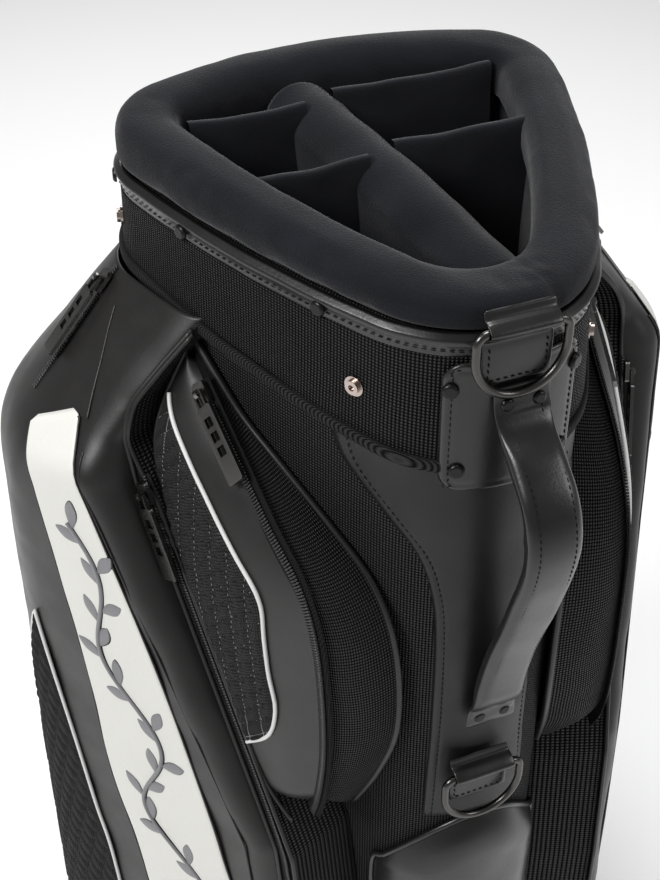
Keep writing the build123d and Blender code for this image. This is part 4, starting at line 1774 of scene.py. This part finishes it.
        name = f"white_panel_{self.wall.word}"
        piece = mapped(name, (44, 150), place, WHITE, inside=self.wall.heart, wall=1.2)
        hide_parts(f"side_panel_{self.wall.word}")
        return piece

    def panel_edge_cord(self) -> bpy.types.Object:
        """Thin dark welt round the white panel."""
        left, right = Track(self.panel_left), Track(self.panel_right)
        points = [self.surface(p.x, p.z, 1.0) for p in left.points(90, 0.01, 0.99)]
        points += [self.surface(p.x, p.z, 1.0) for p in reversed(right.points(90, 0.01, 0.99))]
        return curve_piece(f"white_panel_welt_{self.wall.word}", points, 0.8, SATIN, closed=True)

    def vine(self) -> tuple[bpy.types.Object, ...]:
        """Embroidered vine on the panel: a winding stem with pairs of leaves, edged in black."""
        left, right = Track(self.panel_left), Track(self.panel_right)

        def middle(part: float, sway: float) -> Vector:
            """Point on the panel's middle line, moved aside by sway."""
            spot = left.at(part).lerp(right.at(part), 0.5 + sway)
            return self.surface(spot.x, spot.z, 2.3)

        stem = [middle(0.13 + 0.82 * k / 160, 0.2 * math.sin(k / 160 * 6 * math.pi)) for k in range(161)]
        word = self.wall.word
        pieces = [curve_piece(f"vine_stem_{word}", stem, 1.8, SILVER_THREAD)]
        under = [p - self.wall.out * 1.7 for p in stem]
        pieces.append(curve_piece(f"vine_stem_edge_{word}", under, 2.5, DARK_THREAD))
        layers = (
            ("vine_leaves", 0.0, SILVER_THREAD, 0.0),
            ("vine_leaf_edges", 1.0, DARK_THREAD, 0.7),
        )
        for name, grow, finish, drop in layers:
            bm = bmesh.new()
            for k in range(2, 152, 12):
                for hand in (-1, 1):
                    root = stem[k + (4 if hand > 0 else 0)]
                    lead = (root - stem[k + 6]).normalized()
                    u, _ = self.wall.split(root)
                    normal = (self.surface(u, root.z - REF, 2) - self.surface(u, root.z - REF)).normalized()
                    across = normal.cross(lead).normalized() * hand
                    along = lead * 0.75 + across * 0.66
                    along = (along - normal * along.dot(normal)).normalized()
                    flat = normal.cross(along).normalized()
                    centre = root + along * self.leaf_long * 0.5 - normal * (drop + 0.4)
                    turn = Matrix((along, flat, normal)).transposed().to_4x4()
                    for vert in bmesh.ops.create_icosphere(bm, subdivisions=3, radius=1.0)["verts"]:
                        x, y, z = vert.co
                        slim = self.leaf_wide * 0.62 * (1 - 0.6 * x * x) * (1 + 0.3 * x) + grow
                        spot = Vector((x * (self.leaf_long * 0.5 + grow), y * slim, z * 1.1))
                        vert.co = (Matrix.Translation(centre) @ turn @ spot) * MM
            pieces.append(publish(f"{name}_{word}", bm, finish))
        return tuple(pieces)

    def inset(self) -> tuple[bpy.types.Object, bpy.types.Object]:
        """Second quilted inlay, ahead of the white panel, and its white piping."""
        right = Track(self.inset_right)
        left = Track(self.inset_left)

        def place(across: float, down: float) -> Vector:
            """Point in mm for the two shares of the grid."""
            a, b = left.at(down), right.at(down)
            spot = a.lerp(b, across)
            rim = min(min(across, 1 - across) * (b - a).length, (1 - down) * 300)
            lift = quilt_relief(spot.x + spot.z * 0.3, spot.z, 15.0, 3.2) * min(1.0, rim / 4)
            return self.surface(spot.x, spot.z, 1.2 + lift)

        word = self.wall.word
        name = f"garment_quilt_{word}"
        piece = mapped(name, (70, 140), place, QUILT, (90, 360), inside=self.wall.heart, wall=1.5)
        points = [self.surface(p.x, p.z, 1.8) for p in right.points(80)]
        points += [self.surface(p.x, p.z, 1.8) for p in reversed(left.points(80))]
        return piece, curve_piece(f"garment_white_piping_{word}", points, 1.5, WHITE_CORD, closed=True)

    def seams(self) -> tuple[bpy.types.Object, ...]:
        """Welted seams on the leather and piping along the edge."""
        word = self.wall.word
        heights = [self.top - 8 - 4 * k for k in range(170)]
        edge = [self.wall.at(self.edge_at(z) - 0.5, self.out_at(z, self.ledge) + 1.2, z) for z in heights]
        inner = [self.surface(self.edge_at(z) - self.roll + 2, z, 0.2) for z in heights if z < -165]
        yoke = [(-2, -96), (2, -108), (8, -122), (14, -138), (20, -152)]
        fold = Track([self.surface(u, z, 0.3) for u, z in yoke])
        outer = [
            self.wall.at(self.edge_at(z) + self.ledge_width(z) - 1, self.out_at(z, self.ledge) + 0.5, z)
            for z in [self.top - 10 - 4.6 * k for k in range(146)]
        ]
        return (
            curve_piece(f"garment_edge_piping_{word}", edge, 2.3, SATIN),
            curve_piece(f"garment_inner_welt_{word}", inner, 0.9, SATIN),
            curve_piece(f"garment_yoke_welt_{word}", fold.points(50), 0.9, SATIN),
            curve_piece(f"garment_ledge_piping_{word}", outer, 1.7, SATIN),
        )

    def build(self) -> None:
        """Make the pocket."""
        ride(self.body(), self.ledge_strip(), self.panel(), self.panel_edge_cord(), *self.vine())
        ride(*self.inset(), *self.seams())
        tail = []
        for z in (-480, -560, -660, -740):
            tail.append(self.wall.at(self.edge_at(z) + 9, self.ledge + 1.5, z))
        Zip("garment", f"_{self.wall.word}", 12, 270, tuple(tail), tape_half=6).build()
        Zip("top", f"_{self.wall.word}", 14, 90).build()


@dataclass
class FrontPocket:
    """A zipped pocket across the front, between the two garment pockets."""

    name: str
    low: float
    high: float
    depth: float
    foot: float
    shoulder: float
    top_out: float
    foot_out: float
    before: float
    after: float
    half: float = 93.5

    def out_at(self, z: float) -> float:
        """How far the pocket stands out at z.

        Args:
            z: Height in mm.

        Returns:
            The distance in mm outside the outline.
        """
        rise = min(1.0, (z - self.low) / self.foot)
        fall = min(1.0, (self.high - z) / self.shoulder)
        bottom = self.foot_out + (self.depth - self.foot_out) * math.sin(rise * math.pi / 2) ** 0.8
        top = self.top_out + (self.depth - self.top_out) * math.sin(fall * math.pi / 2) ** 0.9
        return min(bottom, top)

    def at(self, across: float, z: float, lift: float = 0.0) -> Vector:
        """Point on the pocket's face.

        Args:
            across: Share of the width, 0 to 1.
            z: Height in mm.
            lift: Distance off the face in mm.

        Returns:
            The point in mm.
        """
        out = self.out_at(z)
        x = (2 * across - 1) * self.half
        near = min(across, 1 - across) * 2 * self.half
        sink = 1 - math.sqrt(1 - (1 - min(1.0, near / 10)) ** 2) if near < 10 else 0.0
        turn = math.asin(x / (340 + out))
        return OUTLINE.at(turn, out * (1 - 0.85 * sink) + lift, z)

    def build(self) -> None:
        """Make the pocket, its piping and its zip."""

        def place(across: float, up: float) -> Vector:
            """Point in mm for the two shares of the grid."""
            z = self.low + (self.high - self.low) * up
            spot = self.at(across, z)
            return spot + outwards(spot) * ripple(spot, 55, 1.8) * math.sin(math.pi * up)

        piece = mapped(f"{self.name}_pocket_shell", (90, 100), place, SATIN, inside=AXIS, wall=1.5)
        inflate(piece, 1.0, 0.8)
        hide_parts(f"{self.name}_pocket")
        rim = []
        for share in (0.06, 0.94):
            parts = [0.04 + 0.92 * k / 50 for k in range(51)]
            levels = [self.low + (self.high - self.low) * part for part in parts]
            rim.append([self.at(share, level, 0.6) for level in levels])
        points = rim[0] + rim[1][::-1]
        ride(piece, curve_piece(f"{self.name}_pocket_piping", points, 2.2, SATIN, closed=True))
        Zip(self.name, "", self.before, self.after).build()


# ------------------------------------------------------------------ carried-over nodes and the studio


class Dresser:
    """Gives the CAD nodes that stay their finishes."""

    finishes: dict[str, Finish] = {
        "base_pad": RUBBER,
        "base_tray": PLASTIC,
        "tube_lining": LINING,
        "centre_sheet": LINING,
        "rivets": RIVET,
        "snaps": NICKEL,
        "ring": GUNMETAL,
        "slider": GUNMETAL,
        "pull": GUNMETAL,
    }

    def build(self) -> None:
        """Dress every node that shows."""
        for name, node in frame["nodes"].items():
            words = [key for key in self.finishes if key in name]
            finish = self.finishes[words[0]] if words else SATIN
            node.data.materials.clear()
            node.data.materials.append(finish.material())


@dataclass
class Studio:
    """Pale floor, soft lights and the camera."""

    eye: Point = (-0.36309, -0.79431, 1.27003)
    aim: Point = (0.30949, 0.73623, -0.60182)
    lens: float = 61.12
    floor_size: float = 60.0

    def floor(self) -> None:
        """A plain pale floor."""
        bm = bmesh.new()
        bmesh.ops.create_grid(bm, x_segments=2, y_segments=2, size=self.floor_size / 2)
        mesh = bpy.data.meshes.new("floor")
        bm.to_mesh(mesh)
        bm.free()
        floor = bpy.data.objects.new("floor", mesh)
        bpy.context.scene.collection.objects.link(floor)
        material = bpy.data.materials.new("pale_floor")
        material.use_nodes = True
        shader = material.node_tree.nodes["Principled BSDF"]
        shader.inputs["Base Color"].default_value = (0.86, 0.86, 0.86, 1)
        shader.inputs["Roughness"].default_value = 0.9
        shader.inputs["Emission Color"].default_value = (1, 1, 1, 1)
        shader.inputs["Emission Strength"].default_value = 0.18
        mesh.materials.append(material)

    def light(self, name: str, place: Point, size: float, power: float) -> None:
        """One soft square light aimed at the bag's upper half.

        Args:
            name: The light's name.
            place: Its place in metres.
            size: Its side in metres.
            power: Its power in watts.
        """
        data = bpy.data.lights.new(name, "AREA")
        data.energy = power
        data.size = size
        lamp = bpy.data.objects.new(name, data)
        lamp.location = place
        lamp.rotation_euler = (Vector((0, 0, 0.6)) - Vector(place)).to_track_quat("-Z", "Y").to_euler()
        bpy.context.scene.collection.objects.link(lamp)

    def build(self) -> None:
        """Set the stage."""
        scene = bpy.context.scene
        self.floor()
        world = bpy.data.worlds.new("studio")
        world.use_nodes = True
        world.node_tree.nodes["Background"].inputs["Color"].default_value = (1, 1, 1, 1)
        world.node_tree.nodes["Background"].inputs["Strength"].default_value = 0.24
        scene.world = world
        self.light("key", (-1.9, -0.5, 2.3), 0.9, 48)
        self.light("fill", (1.8, -1.5, 1.9), 0.9, 14)
        self.light("top", (0.1, 0.2, 3.0), 0.8, 36)
        self.light("rim", (0.6, 2.2, 2.2), 1.2, 20)
        camera = bpy.data.cameras.new("camera")
        camera.lens = self.lens
        camera.clip_start = 0.01
        rig = bpy.data.objects.new("camera", camera)
        rig.location = self.eye
        rig.rotation_euler = Vector(self.aim).to_track_quat("-Z", "Y").to_euler()
        scene.collection.objects.link(rig)
        scene.camera = rig
        scene.view_settings.view_transform = "Standard"


def main() -> None:
    """Build every piece in order."""
    logging.basicConfig(level=logging.INFO, format="%(message)s")
    Dresser().build()
    Mouth().build()
    Collar().build()
    Tube().build()
    Spine().build()
    for side in (-1, 1):
        SidePocket(side).build()
        GarmentPocket(side).build()
    FrontPocket("ball", 72, 540, 78, 60, 90, 20, 40, 12, 250).build()
    FrontPocket("valuables", 556, 742, 42, 30, 70, 8, 20, 8, 90).build()
    Studio().build()


if __name__ == "__main__":
    main()
